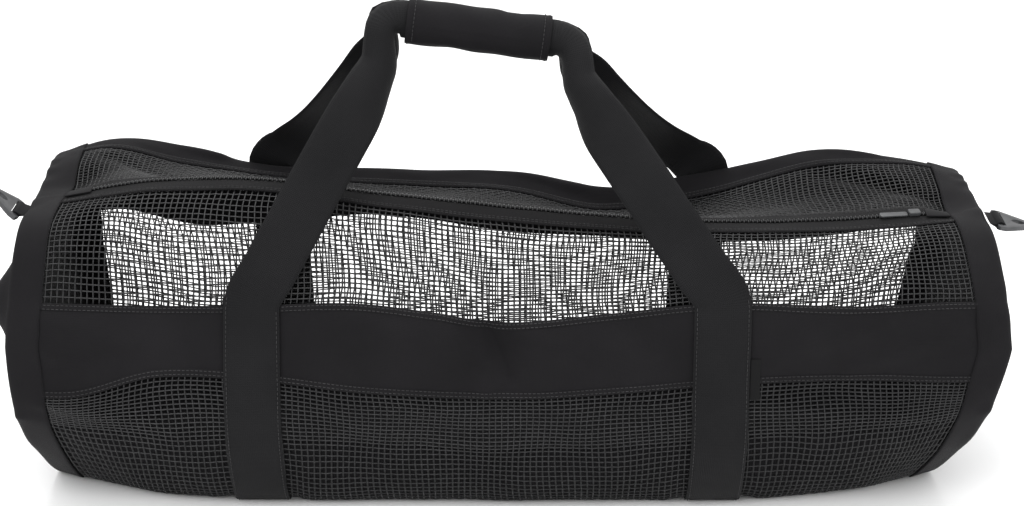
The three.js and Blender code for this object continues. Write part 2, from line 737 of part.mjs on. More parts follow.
function extruded(outline, depth, curveSegments) {
  return new THREE.ExtrudeGeometry(outline, { depth, bevelEnabled: false, curveSegments });
}

// A flat piece of the given outline, lying on the skin at a place of the zip
function onZip(outline, x, height, thickness) {
  const geometry = extruded(outline, thickness, 4);
  const normal = skinNormal(x, FEATURES.zip);
  const along = skin(x + STEP_ALONG, FEATURES.zip).sub(skin(x - STEP_ALONG, FEATURES.zip)).normalize();
  const across = normal.clone().cross(along);
  const place = skin(x, FEATURES.zip).addScaledVector(normal, height);
  geometry.applyMatrix4(new THREE.Matrix4().makeBasis(along, across, normal).setPosition(place));
  return geometry;
}

function roundedStrip(from, to, width, radius) {
  const half = width / 2;
  const shape = new THREE.Shape();
  shape.moveTo(from + radius, -half);
  shape.lineTo(to - radius, -half);
  shape.absarc(to - radius, -half + radius, radius, -Math.PI / 2, 0, false);
  shape.lineTo(to, half - radius);
  shape.absarc(to - radius, half - radius, radius, 0, Math.PI / 2, false);
  shape.lineTo(from + radius, half);
  shape.absarc(from + radius, half - radius, radius, Math.PI / 2, Math.PI, false);
  shape.lineTo(from, -half + radius);
  shape.absarc(from + radius, -half + radius, radius, Math.PI, Math.PI * 1.5, false);
  return shape;
}

// Slider with its pull laid along the coil, and the cloth tab over each end of the zip
function zipEnds() {
  const overCoil = (COIL_HEIGHT - CLOTH) / 2 + LAYER_GAP;
  const sliderX = ZIP_END - SLIDER_LENGTH / HALF_LENGTH;
  const body = roundedStrip(-SLIDER_LENGTH / 2, SLIDER_LENGTH / 2, SLIDER_WIDTH, SLIDER_CORNER);
  add('zip_slider', onZip(body, sliderX, overCoil, SLIDER_HEIGHT), PLASTIC_LOOK);
  const start = -SLIDER_LENGTH / 2 - SEAM_GAP;
  const pull = roundedStrip(start - PULL_LENGTH, start, PULL_WIDTH, SLIDER_CORNER);
  add('zip_pull', onZip(pull, sliderX, overCoil, PULL_THICKNESS), PLASTIC_LOOK);
  for (const [end, side] of [['left', -1], ['right', 1]]) {
    const ends = [side * (ZIP_END + 1 / HALF_LENGTH), side * (ZIP_END + TAB_LENGTH / HALF_LENGTH)];
    add(`zip_tab_${end}`, panelWall({
      xs: ends.sort((a, b) => a - b),
      rowsAt: between(FEATURES.zip, -TAB_WIDTH / 2, FEATURES.zip, TAB_WIDTH / 2),
      rowCount: 1,
      outAt: () => CLOTH + TAB_GAP[end],
      thickness: CLOTH,
    }), CLOTH_LOOK);
  }
}

// Axes at a ring: out along the loop, along the bar, and out of the ring's face
function ringAxes(end, side) {
  const tangent = skin(side, RING_PLACE + STEP_ROUND).sub(skin(side, RING_PLACE - STEP_ROUND)).normalize();
  const out = new THREE.Vector3(side * Math.cos(RING_DROOP), 0, -Math.sin(RING_DROOP));
  out.addScaledVector(tangent, -out.dot(tangent)).normalize();
  const face = out.clone().cross(tangent);
  const root = skin(side, RING_PLACE).addScaledVector(skinNormal(side, RING_PLACE), -LOOP_THICKNESS);
  root.addScaledVector(out, LOOP_SEAT[end]);
  return { out, tangent, face, root };
}

const LOOP_EYE = BAR_RADIUS + LAYER_GAP;
const LOOP_OUTER = LOOP_EYE + LOOP_THICKNESS;
const BAR_PLACE = LOOP_REACH + LOOP_OUTER;

function loopGeometry() {
  const neck = LOOP_THICKNESS;
  const start = Math.asin(neck / LOOP_OUTER);
  const shape = new THREE.Shape();
  shape.moveTo(0, -neck);
  shape.absarc(BAR_PLACE, 0, LOOP_OUTER, -Math.PI + start, Math.PI - start, false);
  shape.lineTo(0, neck);
  const eye = new THREE.Path();
  eye.absarc(BAR_PLACE, 0, LOOP_EYE, 0, Math.PI * 2, true);
  shape.holes.push(eye);
  const geometry = extruded(shape, LOOP_WIDTH, 8);
  geometry.translate(0, 0, -LOOP_WIDTH / 2);
  return geometry;
}

const wasm = await Module();
wasm.setup();

function toManifold(geometry) {
  geometry.deleteAttribute('normal');
  geometry.deleteAttribute('uv');
  const merged = mergeVertices(geometry, 1e-4);
  return new wasm.Manifold(new wasm.Mesh({
    numProp: 3,
    vertProperties: new Float32Array(merged.attributes.position.array),
    triVerts: new Uint32Array(merged.index.array),
  }));
}

function fromManifold(solid) {
  const { vertProperties, triVerts } = solid.getMesh();
  const geometry = new THREE.BufferGeometry();
  geometry.setAttribute('position', new THREE.BufferAttribute(new Float32Array(vertProperties), 3));
  geometry.setIndex(new THREE.BufferAttribute(new Uint32Array(triVerts), 1));
  geometry.computeVertexNormals();
  return geometry;
}

// A flat triangular ring with an eye at its apex and a round bar at its base, its middle at the origin
function ringGeometry() {
  const inner = LOOP_WIDTH / 2 + RUNNING_GAP;
  const outer = inner + RING_RIM;
  const slot = LOOP_OUTER + RUNNING_GAP;
  const heel = BAR_RADIUS + 1;
  const apexCentre = RING_REACH - RING_APEX;
  const slope = Math.atan2(outer - RING_APEX, apexCentre - slot);
  const shape = new THREE.Shape();
  shape.moveTo(-heel, -inner);
  shape.lineTo(-heel, -outer + heel / 2);
  shape.lineTo(-heel / 2, -outer);
  shape.lineTo(slot, -outer);
  shape.absarc(apexCentre, 0, RING_APEX, -Math.PI / 2 + slope, Math.PI / 2 - slope, false);
  shape.lineTo(slot, outer);
  shape.lineTo(-heel / 2, outer);
  shape.lineTo(-heel, outer - heel / 2);
  shape.lineTo(-heel, inner);
  shape.lineTo(slot, inner);
  shape.lineTo(slot, -inner);
  const eye = new THREE.Path();
  eye.absellipse(RING_EYE_PLACE, 0, RING_EYE_LENGTH / 2, RING_EYE_WIDTH / 2, 0, Math.PI * 2, true);
  shape.holes.push(eye);
  const plate = extruded(shape, RING_THICKNESS, 8);
  plate.translate(0, 0, -RING_THICKNESS / 2);
  const bar = new THREE.CylinderGeometry(BAR_RADIUS, BAR_RADIUS, inner * 2 + 2, 12);
  return fromManifold(toManifold(plate).add(toManifold(bar)));
}

function ends() {
  for (const [end, side] of [['left', -1], ['right', 1]]) {
    const { out, tangent, face, root } = ringAxes(end, side);
    const loop = add(`end_loop_${end}`, loopGeometry(), WEBBING_LOOK);
    const loopAxes = new THREE.Matrix4().makeBasis(out, face.clone().negate(), tangent);
    loop.quaternion.setFromRotationMatrix(loopAxes);
    loop.position.copy(root);
    const ring = add(`end_ring_${end}`, ringGeometry(), PLASTIC_LOOK);
    const swing = RING_SWING[end];
    const swungOut = out.clone().multiplyScalar(Math.cos(swing)).addScaledVector(face, Math.sin(swing));
    const swungFace = swungOut.clone().cross(tangent);
    ring.quaternion.setFromRotationMatrix(new THREE.Matrix4().makeBasis(swungOut, tangent, swungFace));
    ring.position.copy(root).addScaledVector(out, BAR_PLACE);
  }
}

// Small woven label, sewn in along the right strap's edge and hanging over the band's lower seam
function sideLabel() {
  const start = STRAP_PLACES[1] + STRAP_WIDTH / 2 + LAYER_GAP;
  add('side_label', panelWall({
    xs: [start / HALF_LENGTH, (start + LABEL_WIDTH) / HALF_LENGTH],
    rowsAt: between(FEATURES.low, -LABEL_LENGTH * LABEL_ABOVE, FEATURES.low, LABEL_LENGTH * LABEL_BELOW),
    rowCount: 3,
    outAt: () => LAYER_GAP + LABEL_THICKNESS,
    thickness: LABEL_THICKNESS,
  }), LABEL_LOOK);
}

netPanels();
clothPanels();
endTrims();
endPanels();
zip();
zipEnds();
carryStraps();
grip();
ends();
sideLabel();

export default bag;
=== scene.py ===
"""Looks of the mesh dive gear bag: its net, cloth, webbing, zip and rings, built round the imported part."""
import math

import bpy
import numpy as np
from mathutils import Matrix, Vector


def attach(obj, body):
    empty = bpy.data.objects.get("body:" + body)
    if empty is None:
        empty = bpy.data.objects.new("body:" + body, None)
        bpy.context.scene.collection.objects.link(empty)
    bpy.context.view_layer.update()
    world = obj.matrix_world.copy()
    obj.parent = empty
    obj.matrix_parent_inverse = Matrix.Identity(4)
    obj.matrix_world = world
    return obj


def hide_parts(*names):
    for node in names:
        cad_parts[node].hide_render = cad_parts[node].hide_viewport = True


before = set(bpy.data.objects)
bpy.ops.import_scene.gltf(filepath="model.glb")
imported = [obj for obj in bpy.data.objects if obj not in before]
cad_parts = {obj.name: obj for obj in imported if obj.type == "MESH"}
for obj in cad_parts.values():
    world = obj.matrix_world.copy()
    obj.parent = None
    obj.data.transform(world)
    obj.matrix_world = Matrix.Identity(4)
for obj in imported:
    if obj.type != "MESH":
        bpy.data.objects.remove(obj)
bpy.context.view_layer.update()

MM = 0.001

# The bag's skin, in millimetres and in shares of its size, as the solids have it
BAG_LENGTH, BAG_DEPTH, BAG_HEIGHT = 890.0, 304.0, 300.0
HALF = BAG_LENGTH / 2
CLOTH, NET, SEAM_GAP, TRIM_WIDTH, TRIM_LAP = 1.6, 1.6, 0.6, 27.0, 3.0
STRAP_WIDTH, STRAP_THICKNESS, STRAP_GAP = 50.0, 2.0, 1.2
STRAP_PLACES = (-226.5, 188.5)
STRAP_BED, STRAP_SLOPE = STRAP_WIDTH / 2 + 2, 20.0
ZIP_END = 770.0 / 2 / HALF
COIL_WIDTH, TAPE_WIDTH = 6.0, 13.0
ZIP_HALF = COIL_WIDTH / 2 + SEAM_GAP + TAPE_WIDTH
PANEL_END = (HALF - TRIM_WIDTH - SEAM_GAP) / HALF
FEATURE_COUNT = 14
GRIP_CENTRE = np.array([-27.0, 4.0, 420.0])
GRIP_TILT, GRIP_LENGTH, GRIP_CURL, GRIP_OVERRUN = 0.13, 131.0, 1.535, 8.0

STATION_NAMES = ("x", "zipY", "zipZ", "shoulderZ", "topY", "topZ", "lowZ", "foldZ", "floorY", "seamZ",
                 "crestZ", "nearZ")
STATIONS = np.array([
    [-1.0, 0.4, 0.9, 0.86, 0.07, 0.68, 0.41, 0.32, 0.36, 0.665, 0.94, 0.95],
    [-0.865, 0.39, 0.93, 0.87, 0.08, 0.67, 0.405, 0.3, 0.28, 0.7, 0.99, 0.98],
    [-0.7, 0.38, 0.96, 0.86, 0.09, 0.66, 0.47, 0.28, 0.19, 0.67, 0.955, 0.93],
    [-0.51, 0.37, 0.965, 0.85, 0.08, 0.665, 0.46, 0.27, 0.155, 0.69, 0.9, 0.885],
    [-0.29, 0.34, 0.935, 0.82, 0.055, 0.68, 0.42, 0.257, 0.15, 0.71, 0.89, 0.86],
    [0.0, 0.32, 0.893, 0.76, 0.053, 0.623, 0.4, 0.235, 0.15, 0.655, 0.873, 0.835],
    [0.2, 0.32, 0.865, 0.755, 0.053, 0.65, 0.415, 0.243, 0.15, 0.635, 0.83, 0.775],
    [0.42, 0.32, 0.847, 0.79, 0.035, 0.69, 0.443, 0.27, 0.15, 0.615, 0.875, 0.82],
    [0.67, 0.33, 0.85, 0.795, 0.03, 0.68, 0.46, 0.293, 0.2, 0.625, 0.945, 0.92],
    [0.865, 0.345, 0.865, 0.815, 0.04, 0.69, 0.453, 0.32, 0.29, 0.635, 0.925, 0.925],
    [1.0, 0.4, 0.873, 0.82, 0.06, 0.685, 0.453, 0.335, 0.36, 0.625, 0.88, 0.9],
])
MIDDLE = dict(shoulderY=0.165, lowY=0.013, foldY=0.0, floorBackY=0.85, backLowY=0.965, backLowZ=0.15,
              bulgeZ=0.36, seamY=0.825, crestY=0.743, nearY=0.685, sag=0.02)
ENDS = dict(shoulderY=0.18, lowY=0.015, foldY=0.03, floorBackY=0.66, backLowY=0.915, backLowZ=0.2,
            bulgeZ=0.44, seamY=0.95, crestY=0.74, nearY=0.67, sag=0.0)
WIDEST, TUCK_START = 0.55, 0.72
TUCK = {-1: (0.03, 0.025), 1: (0.09, 0.032)}
# Folds of the cloth: x, at, half width along x, half width along the section, out
FOLDS = (
    (-0.04, 2.25, 0.05, 0.35, -0.03),
    (-0.14, 2.35, 0.06, 0.4, 0.02),
    (0.08, 2.4, 0.06, 0.4, 0.02),
    (-0.88, 2.3, 0.08, 0.3, 0.02),
    (0.62, 2.2, 0.07, 0.4, 0.02),
    (-0.92, 13.4, 0.06, 0.6, -0.03),
    (0.93, 13.6, 0.05, 0.6, -0.035),
)
# Creases too fine for the solids: x in mm and at, to x and at, half width in mm, height in mm
CREASES = (
    (-415, 2.15, -330, 2.5, 9, 3.0),
    (-415, 2.45, -350, 2.75, 7, 2.0),
    (-60, 2.1, -20, 2.9, 8, 3.5),
    (-20, 2.05, 0, 2.7, 6, -3.5),
    (10, 2.1, 60, 2.5, 9, 3.0),
    (-150, 2.1, -90, 2.35, 9, 2.5),
    (100, 2.2, 160, 2.8, 10, -2.0),
    (225, 2.75, 330, 2.2, 10, 2.5),
    (300, 2.85, 400, 2.35, 9, 2.5),
    (350, 2.1, 415, 2.3, 8, -2.0),
    (-415, 3.2, -300, 3.9, 14, 2.5),
    (-120, 3.4, 40, 3.7, 16, -2.0),
    (-60, 3.9, 120, 3.6, 12, 2.2),
    (230, 3.4, 400, 3.9, 15, 2.2),
    (280, 4.1, 415, 4.4, 14, 2.0),
    (-400, 1.2, -300, 1.7, 10, 2.0),
    (-190, 1.1, -120, 1.8, 12, -2.0),
    (-60, 1.3, 60, 1.7, 12, 2.0),
    (60, 1.8, 140, 1.2, 12, -2.0),
    (260, 1.2, 380, 1.8, 12, 2.5),
    (-400, 10.6, -280, 11.2, 14, 3.0),
    (-150, 10.3, 60, 11.2, 16, 3.0),
    (60, 10.4, 160, 11.6, 12, -2.5),
    (230, 10.5, 350, 11.4, 14, 2.5),
    (-380, 12.4, -300, 13.2, 12, -3.0),
    (300, 12.3, 400, 13.2, 12, -3.0),
    (-300, 8.6, -60, 9.4, 18, 3.0),
    (40, 9.4, 260, 8.6, 18, 3.0),
)
# Mean length in mm of one count round the section
CREASE_ROW = 68.0
# Lowest place of the cloth's outside over the floor
LOWEST = 0.3
STEP_ALONG, STEP_ROUND = 0.01, 0.03
WALK_STEPS = 12


def smooth(low, high, value):
    """0 below low, 1 above high, and a smooth step between."""
    k = np.clip((value - low) / (high - low), 0, 1)
    return k * k * (3 - 2 * k)


def column(name, x):
    """A column of the stations at x, on a smooth curve through its rows."""
    c = STATION_NAMES.index(name)
    xs, v = STATIONS[:, 0], STATIONS[:, c]
    i = np.clip(np.searchsorted(xs, x, side="left") - 1, 0, len(xs) - 2)
    lo, hi = np.maximum(i - 1, 0), np.minimum(i + 2, len(xs) - 1)
    span = xs[i + 1] - xs[i]
    k = (x - xs[i]) / span
    slope_a = (v[i + 1] - v[lo]) / (xs[i + 1] - xs[lo])
    slope_b = (v[hi] - v[i]) / (xs[hi] - xs[i])
    return ((2 * k**3 - 3 * k**2 + 1) * v[i] + (k**3 - 2 * k**2 + k) * span * slope_a
            + (-2 * k**3 + 3 * k**2) * v[i + 1] + (k**3 - k**2) * span * slope_b)


def section_points(x):
    """The section's features at each x: arrays (n, 14, 2) of y and z in mm."""
    k = smooth(0.6, 1.0, np.abs(x))
    p = {n: MIDDLE[n] + (ENDS[n] - MIDDLE[n]) * k for n in MIDDLE}
    one = np.ones_like(x)
    zy, zz, ny, nz = column("zipY", x), column("zipZ", x), p["nearY"], column("nearZ", x)
    rows = [(zy, zz), (p["shoulderY"], column("shoulderZ", x)), (column("topY", x), column("topZ", x)),
            (p["lowY"], column("lowZ", x)), (p["foldY"], column("foldZ", x)), (column("floorY", x), 0 * one),
            (0.5 * one, 0 * one), (p["floorBackY"], 0 * one), (p["backLowY"], p["backLowZ"]),
            (one, p["bulgeZ"]), (p["seamY"], column("seamZ", x)), (p["crestY"], column("crestZ", x)),
            (ny, nz), ((zy + ny) / 2, (zz + nz) / 2 - p["sag"])]
    y = np.stack([(r[0] - 0.5) * BAG_DEPTH for r in rows], 1)
    z = np.stack([r[1] * BAG_HEIGHT for r in rows], 1)
    return np.stack([y, z], 2)


def plain_skin(x, at):
    """The outer skin without folds: x as a share of the half length, at counted round the section."""
    x, at = np.broadcast_arrays(np.asarray(x, float), np.asarray(at, float))
    shape = x.shape
    x, at = x.ravel(), at.ravel() % FEATURE_COUNT
    i = np.floor(at).astype(int)
    w = (at - i)[:, None]
    n = np.arange(len(x))
    pts = section_points(x)
    p = [pts[n, (i + d) % FEATURE_COUNT] for d in (-1, 0, 1, 2)]
    dt = [np.sqrt(np.linalg.norm(p[j + 1] - p[j], axis=1))[:, None] for j in range(3)]
    dt[1] = np.where(dt[1] < 1e-4, 1, dt[1])
    dt[0] = np.where(dt[0] < 1e-4, dt[1], dt[0])
    dt[2] = np.where(dt[2] < 1e-4, dt[1], dt[2])
    t1 = ((p[1] - p[0]) / dt[0] - (p[2] - p[0]) / (dt[0] + dt[1]) + (p[2] - p[1]) / dt[1]) * dt[1]
    t2 = ((p[2] - p[1]) / dt[1] - (p[3] - p[1]) / (dt[1] + dt[2]) + (p[3] - p[2]) / dt[2]) * dt[1]
    q = p[1] + t1 * w + (-3 * p[1] + 3 * p[2] - 2 * t1 - t2) * w**2 + (2 * p[1] - 2 * p[2] + t1 + t2) * w**3
    z = np.maximum(q[:, 1], 0)
    slopes = [1 - smooth(STRAP_BED, STRAP_BED + STRAP_SLOPE, np.abs(x * HALF - s)) for s in STRAP_PLACES]
    z = z + (STRAP_THICKNESS + STRAP_GAP) * np.maximum(*slopes) * np.maximum(1 - z / (BAG_HEIGHT / 4), 0)
    share = z / BAG_HEIGHT
    low = np.where(x < 0, TUCK[-1][0], TUCK[1][0])
    top = np.where(x < 0, TUCK[-1][1], TUCK[1][1])
    lean = np.where(share < WIDEST, low * (1 - share / WIDEST), top * (share - WIDEST) / (1 - WIDEST))
    xx = x * HALF - np.sign(x) * lean * HALF * smooth(TUCK_START, 1.0, np.abs(x))
    return np.stack([xx, q[:, 0], z], 1).reshape(shape + (3,))


def unit(v):
    return v / np.linalg.norm(v, axis=-1, keepdims=True)


def normals_of(surface, x, at):
    """Outward normals of a surface, from small steps along the bag and round it."""
    along = surface(x + STEP_ALONG, at) - surface(x - STEP_ALONG, at)
    around = surface(x, at + STEP_ROUND) - surface(x, at - STEP_ROUND)
    return unit(np.cross(around, along))


def around_section(at, place):
    """Counts from a place to at, the short way round the section."""
    return (at - place + FEATURE_COUNT * 1.5) % FEATURE_COUNT - FEATURE_COUNT / 2


def skin(x, at):
    """The outer skin with its folds."""
    x, at = np.broadcast_arrays(np.asarray(x, float), np.asarray(at, float))
    out = np.zeros_like(x)
    for fx, fat, sx, sat, o in FOLDS:
        bell = np.exp(-((x - fx) / sx) ** 2 - (around_section(at, fat) / sat) ** 2)
        out = out + o * BAG_DEPTH * bell
    return plain_skin(x, at) + normals_of(plain_skin, x, at) * out[..., None]


def crease_height(x, at):
    """Height in mm of the fine creases at a place of the skin."""
    u = x * HALF
    h = np.zeros_like(u)
    near = [1 - smooth(STRAP_BED - 6, STRAP_BED + 26, np.abs(u - s)) for s in STRAP_PLACES]
    held = 1 - np.maximum(*near) * 0.85
    for x0, a0, x1, a1, wide, high in CREASES:
        v = around_section(at, a0) * CREASE_ROW
        du, dv = x1 - x0, (a1 - a0) * CREASE_ROW
        k = np.clip(((u - x0) * du + v * dv) / (du * du + dv * dv), 0, 1)
        d = np.hypot(u - x0 - k * du, v - k * dv)
        h += high * np.exp(-(d / wide) ** 2)
    v = at * CREASE_ROW
    h += 0.7 * np.sin(u / 31 + 1.3 * np.sin(v / 47)) * np.sin(v / 23 + 0.8 * np.sin(u / 59))
    h += 0.35 * np.sin(u / 13 + 2 * np.sin(v / 29)) * np.sin(v / 11 + np.sin(u / 37))
    return h * held


def dressed(x, at, out=0.0):
    """A point of the dressed skin: folds, creases and a distance out along the normal."""
    n = normals_of(skin, x, at)
    p = skin(x, at) + n * (out + crease_height(x, at))[..., None]
    p[..., 2] = np.maximum(p[..., 2], LOWEST)
    return p, n


def step_from(x, at, distance):
    """Walks along the section from one place by a distance in mm."""
    x = np.asarray(x, float)
    place = np.full_like(x, at)
    for _ in range(WALK_STEPS):
        span = plain_skin(x, place + STEP_ALONG) - plain_skin(x, place - STEP_ALONG)
        rate = np.linalg.norm(span, axis=-1) / (2 * STEP_ALONG)
        place = place + distance / WALK_STEPS / rate
    return place


# Materials
def node_material(name):
    """A new material with its node tree and shader."""
    m = bpy.data.materials.new(name)
    m.use_nodes = True
    nt = m.node_tree
    return m, nt, nt.nodes["Principled BSDF"]


def link(nt, a, b):
    nt.links.new(a, b)


def ramp(nt, source, stops):
    r = nt.nodes.new("ShaderNodeValToRGB")
    while len(r.color_ramp.elements) < len(stops):
        r.color_ramp.elements.new(0.5)
    for e, (pos, c) in zip(r.color_ramp.elements, stops):
        e.position = pos
        e.color = (*c, 1)
    link(nt, source, r.inputs[0])
    return r.outputs[0]


def noise(nt, vector, scale, detail=3.0):
    n = nt.nodes.new("ShaderNodeTexNoise")
    n.inputs["Scale"].default_value = scale
    n.inputs["Detail"].default_value = detail
    link(nt, vector, n.inputs["Vector"])
    return n.outputs["Fac"]


def bump(nt, shader, height, strength, distance, under=None):
    b = nt.nodes.new("ShaderNodeBump")
    b.inputs["Strength"].default_value = strength
    b.inputs["Distance"].default_value = distance
    link(nt, height, b.inputs["Height"])
    if under:
        link(nt, under, b.inputs["Normal"])
    link(nt, b.outputs[0], shader.inputs["Normal"])
    return b.outputs[0]


def woven(name, dark, light, roughness, sheen, pitch, bump_distance):
    """Plain woven cloth: crossing threads on the piece's own UV map, in metres, with worn lighter patches."""
    m, nt, s = node_material(name)
    coords = nt.nodes.new("ShaderNodeTexCoord")
    waves = []
    for axis in ("X", "Y"):
        w = nt.nodes.new("ShaderNodeTexWave")
        w.bands_direction = axis
        w.inputs["Scale"].default_value = 0.314 / pitch
        w.inputs["Distortion"].default_value = 0.6
        w.inputs["Detail"].default_value = 1.0
        link(nt, coords.outputs["UV"], w.inputs["Vector"])
        waves.append(w.outputs["Fac"])
    mix = nt.nodes.new("ShaderNodeMath")
    mix.operation = "MAXIMUM"
    link(nt, waves[0], mix.inputs[0])
    link(nt, waves[1], mix.inputs[1])
    patches = noise(nt, coords.outputs["Object"], 14.0, 4.0)
    blend = nt.nodes.new("ShaderNodeMath")
    blend.operation = "MULTIPLY"
    link(nt, mix.outputs[0], blend.inputs[0])
    link(nt, patches, blend.inputs[1])
    link(nt, ramp(nt, blend.outputs[0], [(0.15, dark), (0.75, light)]), s.inputs["Base Color"])
    s.inputs["Roughness"].default_value = roughness
    s.inputs["Sheen Weight"].default_value = sheen
    s.inputs["Sheen Roughness"].default_value = 0.5
    s.inputs["Specular IOR Level"].default_value = 0.12
    under = bump(nt, s, noise(nt, coords.outputs["Object"], 60.0), 0.25, 0.0012)
    bump(nt, s, mix.outputs[0], 0.6, bump_distance, under)
    return m


CLOTH_BLACK = woven("bag_cloth", (0.0040, 0.0037, 0.0044), (0.0095, 0.0088, 0.0102),
                    0.78, 0.03, 0.0011, 0.0003)
WEBBING_BLACK = woven("flat_webbing", (0.0042, 0.0042, 0.0048), (0.0105, 0.0104, 0.0112),
                      0.75, 0.03, 0.0016, 0.0005)
TAPE_BLACK = woven("zip_tape", (0.0040, 0.0038, 0.0042), (0.0090, 0.0086, 0.0094),
                   0.78, 0.03, 0.0009, 0.0003)
BINDING_BLACK = woven("seam_binding", (0.0042, 0.0039, 0.0046), (0.0100, 0.0094, 0.0106),
                      0.75, 0.03, 0.0010, 0.0004)
LABEL_BLACK = woven("side_label_weave", (0.0035, 0.0035, 0.0038), (0.0070, 0.0070, 0.0074),
                    0.65, 0.02, 0.0006, 0.0002)


def coated_net():
    """Coated strands of the net: nearly black, a little glossy."""
    m, nt, s = node_material("coated_net")
    coords = nt.nodes.new("ShaderNodeTexCoord")
    tone = noise(nt, coords.outputs["Object"], 120.0, 2.0)
    stops = [(0.3, (0.0045, 0.0045, 0.0050)), (0.75, (0.0120, 0.0120, 0.0130))]
    link(nt, ramp(nt, tone, stops), s.inputs["Base Color"])
    s.inputs["Roughness"].default_value = 0.36
    s.inputs["Specular IOR Level"].default_value = 0.4
    bump(nt, s, noise(nt, coords.outputs["Object"], 900.0, 2.0), 0.3, 0.0002)
    return m


def moulded(name, dark, light, roughness):
    """Moulded plastic or thread with a fine grain."""
    m, nt, s = node_material(name)
    coords = nt.nodes.new("ShaderNodeTexCoord")
    tone = noise(nt, coords.outputs["Object"], 90.0, 3.0)
    link(nt, ramp(nt, tone, [(0.3, dark), (0.7, light)]), s.inputs["Base Color"])
    s.inputs["Roughness"].default_value = roughness
    bump(nt, s, noise(nt, coords.outputs["Object"], 1500.0, 2.0), 0.15, 0.0001)
    return m


NET_BLACK = coated_net()
RING_GREY = moulded("ring_plastic", (0.030, 0.031, 0.033), (0.048, 0.049, 0.052), 0.38)
COIL_BLACK = moulded("coil_nylon", (0.005, 0.005, 0.0055), (0.010, 0.010, 0.011), 0.35)
THREAD_GREY = moulded("stitch_thread", (0.016, 0.0155, 0.0165), (0.034, 0.033, 0.035), 0.6)


# Mesh building
def make_piece(name, verts, faces, material, body, uvs=None):
    """A mesh piece from points in millimetres; uvs are per point, in metres along the cloth."""
    mesh = bpy.data.meshes.new(name)
    verts = np.asarray(verts, float) * MM
    verts[:, 2] = np.maximum(verts[:, 2], 0)
    faces = np.asarray(faces, np.int32)
    mesh.vertices.add(len(verts))
    mesh.vertices.foreach_set("co", verts.ravel())
    mesh.loops.add(faces.size)
    mesh.loops.foreach_set("vertex_index", faces.ravel())
    mesh.polygons.add(len(faces))
    mesh.polygons.foreach_set("loop_start", np.arange(len(faces), dtype=np.int32) * faces.shape[1])
    mesh.update(calc_edges=True)
    if uvs is not None:
        layer = mesh.uv_layers.new(name="flat")
        layer.data.foreach_set("uv", np.asarray(uvs, float)[faces.ravel()].ravel())
    mesh.validate()
    mesh.materials.append(material)
    mesh.shade_smooth()
    obj = bpy.data.objects.new(name, mesh)
    bpy.context.collection.objects.link(obj)
    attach(obj, body)
    return obj


def grid_faces(rows, cols, wrap=False):
    """Quads over a grid of points [row][column]."""
    r = np.arange(rows if wrap else rows - 1)[:, None]
    c = np.arange(cols - 1)[None, :]
    s = (r + 1) % rows
    return np.stack([r * cols + c, s * cols + c, s * cols + c + 1, r * cols + c + 1], -1).reshape(-1, 4)


def wall(outer, inner, wrap=False, open_end=False):
    """A closed wall between two grids of points, left open at its last column on request."""
    rows, cols = outer.shape[:2]
    n = rows * cols
    face = grid_faces(rows, cols, wrap)
    back = face[:, ::-1] + n
    parts = [face, back]
    r = np.arange(rows if wrap else rows - 1)
    s = (r + 1) % rows
    parts.append(np.stack([r * cols, r * cols + n, s * cols + n, s * cols], 1))
    e = cols - 1
    if not open_end:
        parts.append(np.stack([s * cols + e, s * cols + e + n, r * cols + e + n, r * cols + e], 1))
    if not wrap:
        c = np.arange(cols - 1)
        b = (rows - 1) * cols
        parts.append(np.stack([c + 1, c + 1 + n, c + n, c], 1))
        parts.append(np.stack([b + c, b + c + n, b + c + 1 + n, b + c + 1], 1))
    verts = np.concatenate([outer.reshape(-1, 3), inner.reshape(-1, 3)])
    return verts, np.concatenate(parts)


def lengths(points, axis):
    """Running lengths over a grid of points along one of its axes."""
    d = np.linalg.norm(np.diff(points, axis=axis), axis=-1)
    pad = [(0, 0), (0, 0)]
    pad[axis] = (1, 0)
    return np.cumsum(np.pad(d, pad), axis=axis)


def cloth_uv(points):
    """UV in metres, measured along the middle row and column of a grid."""
    rows, cols = points.shape[:2]
    u = lengths(points, 1)[rows // 2] * MM
    v = lengths(points, 0)[:, cols // 2] * MM
    return np.stack(np.broadcast_arrays(u[None, :], v[:, None]), -1).reshape(-1, 2)


def panel(name, xs, at_rows, material, replaces, out=0.0, thickness=CLOTH):
    """A cloth panel of the bag: at_rows is an array [row][column] of places along the section."""
    x = np.broadcast_to(xs[None, :], at_rows.shape)
    outer, n = dressed(x, at_rows, out)
    inner = outer - n * thickness
    inner[..., 2] = np.maximum(inner[..., 2], LOWEST)
    verts, faces = wall(outer, inner)
    uv = cloth_uv(outer)
    obj = make_piece(name, verts, faces, material, "bag", np.concatenate([uv, uv]))
    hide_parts(replaces)


def rows_between(xs, start, start_shift, end, end_shift, count):
    """Rows of places between two features, each shifted by a distance in mm."""
    a = step_from(xs, start, start_shift)
    b = step_from(xs, end, end_shift)
    k = np.linspace(0, 1, count + 1)[:, None]
    return a[None, :] * (1 - k) + b[None, :] * k


def along_bag(count):
    return np.linspace(-PANEL_END, PANEL_END, count + 1)


# Cloth bands, base and trims
HALF_GAP = SEAM_GAP / 2
BAND_X = along_bag(320)
BASE_X = along_bag(200)
# How far the base lies inside the net
BASE_INSET = NET + 1.5


def cloth_panels():
    front = rows_between(BAND_X, 2, HALF_GAP, 3, -HALF_GAP, 26)
    back = rows_between(BAND_X, 10, HALF_GAP, 12, -HALF_GAP, 40)
    base = rows_between(BASE_X, 4, 0, 8, 0, 60)
    panel("front_band_cloth", BAND_X, front, CLOTH_BLACK, "front_band")
    panel("back_band_cloth", BAND_X, back, CLOTH_BLACK, "back_band")
    panel("base_panel_cloth", BASE_X, base, CLOTH_BLACK, "base_panel", out=-BASE_INSET)


cloth_panels()

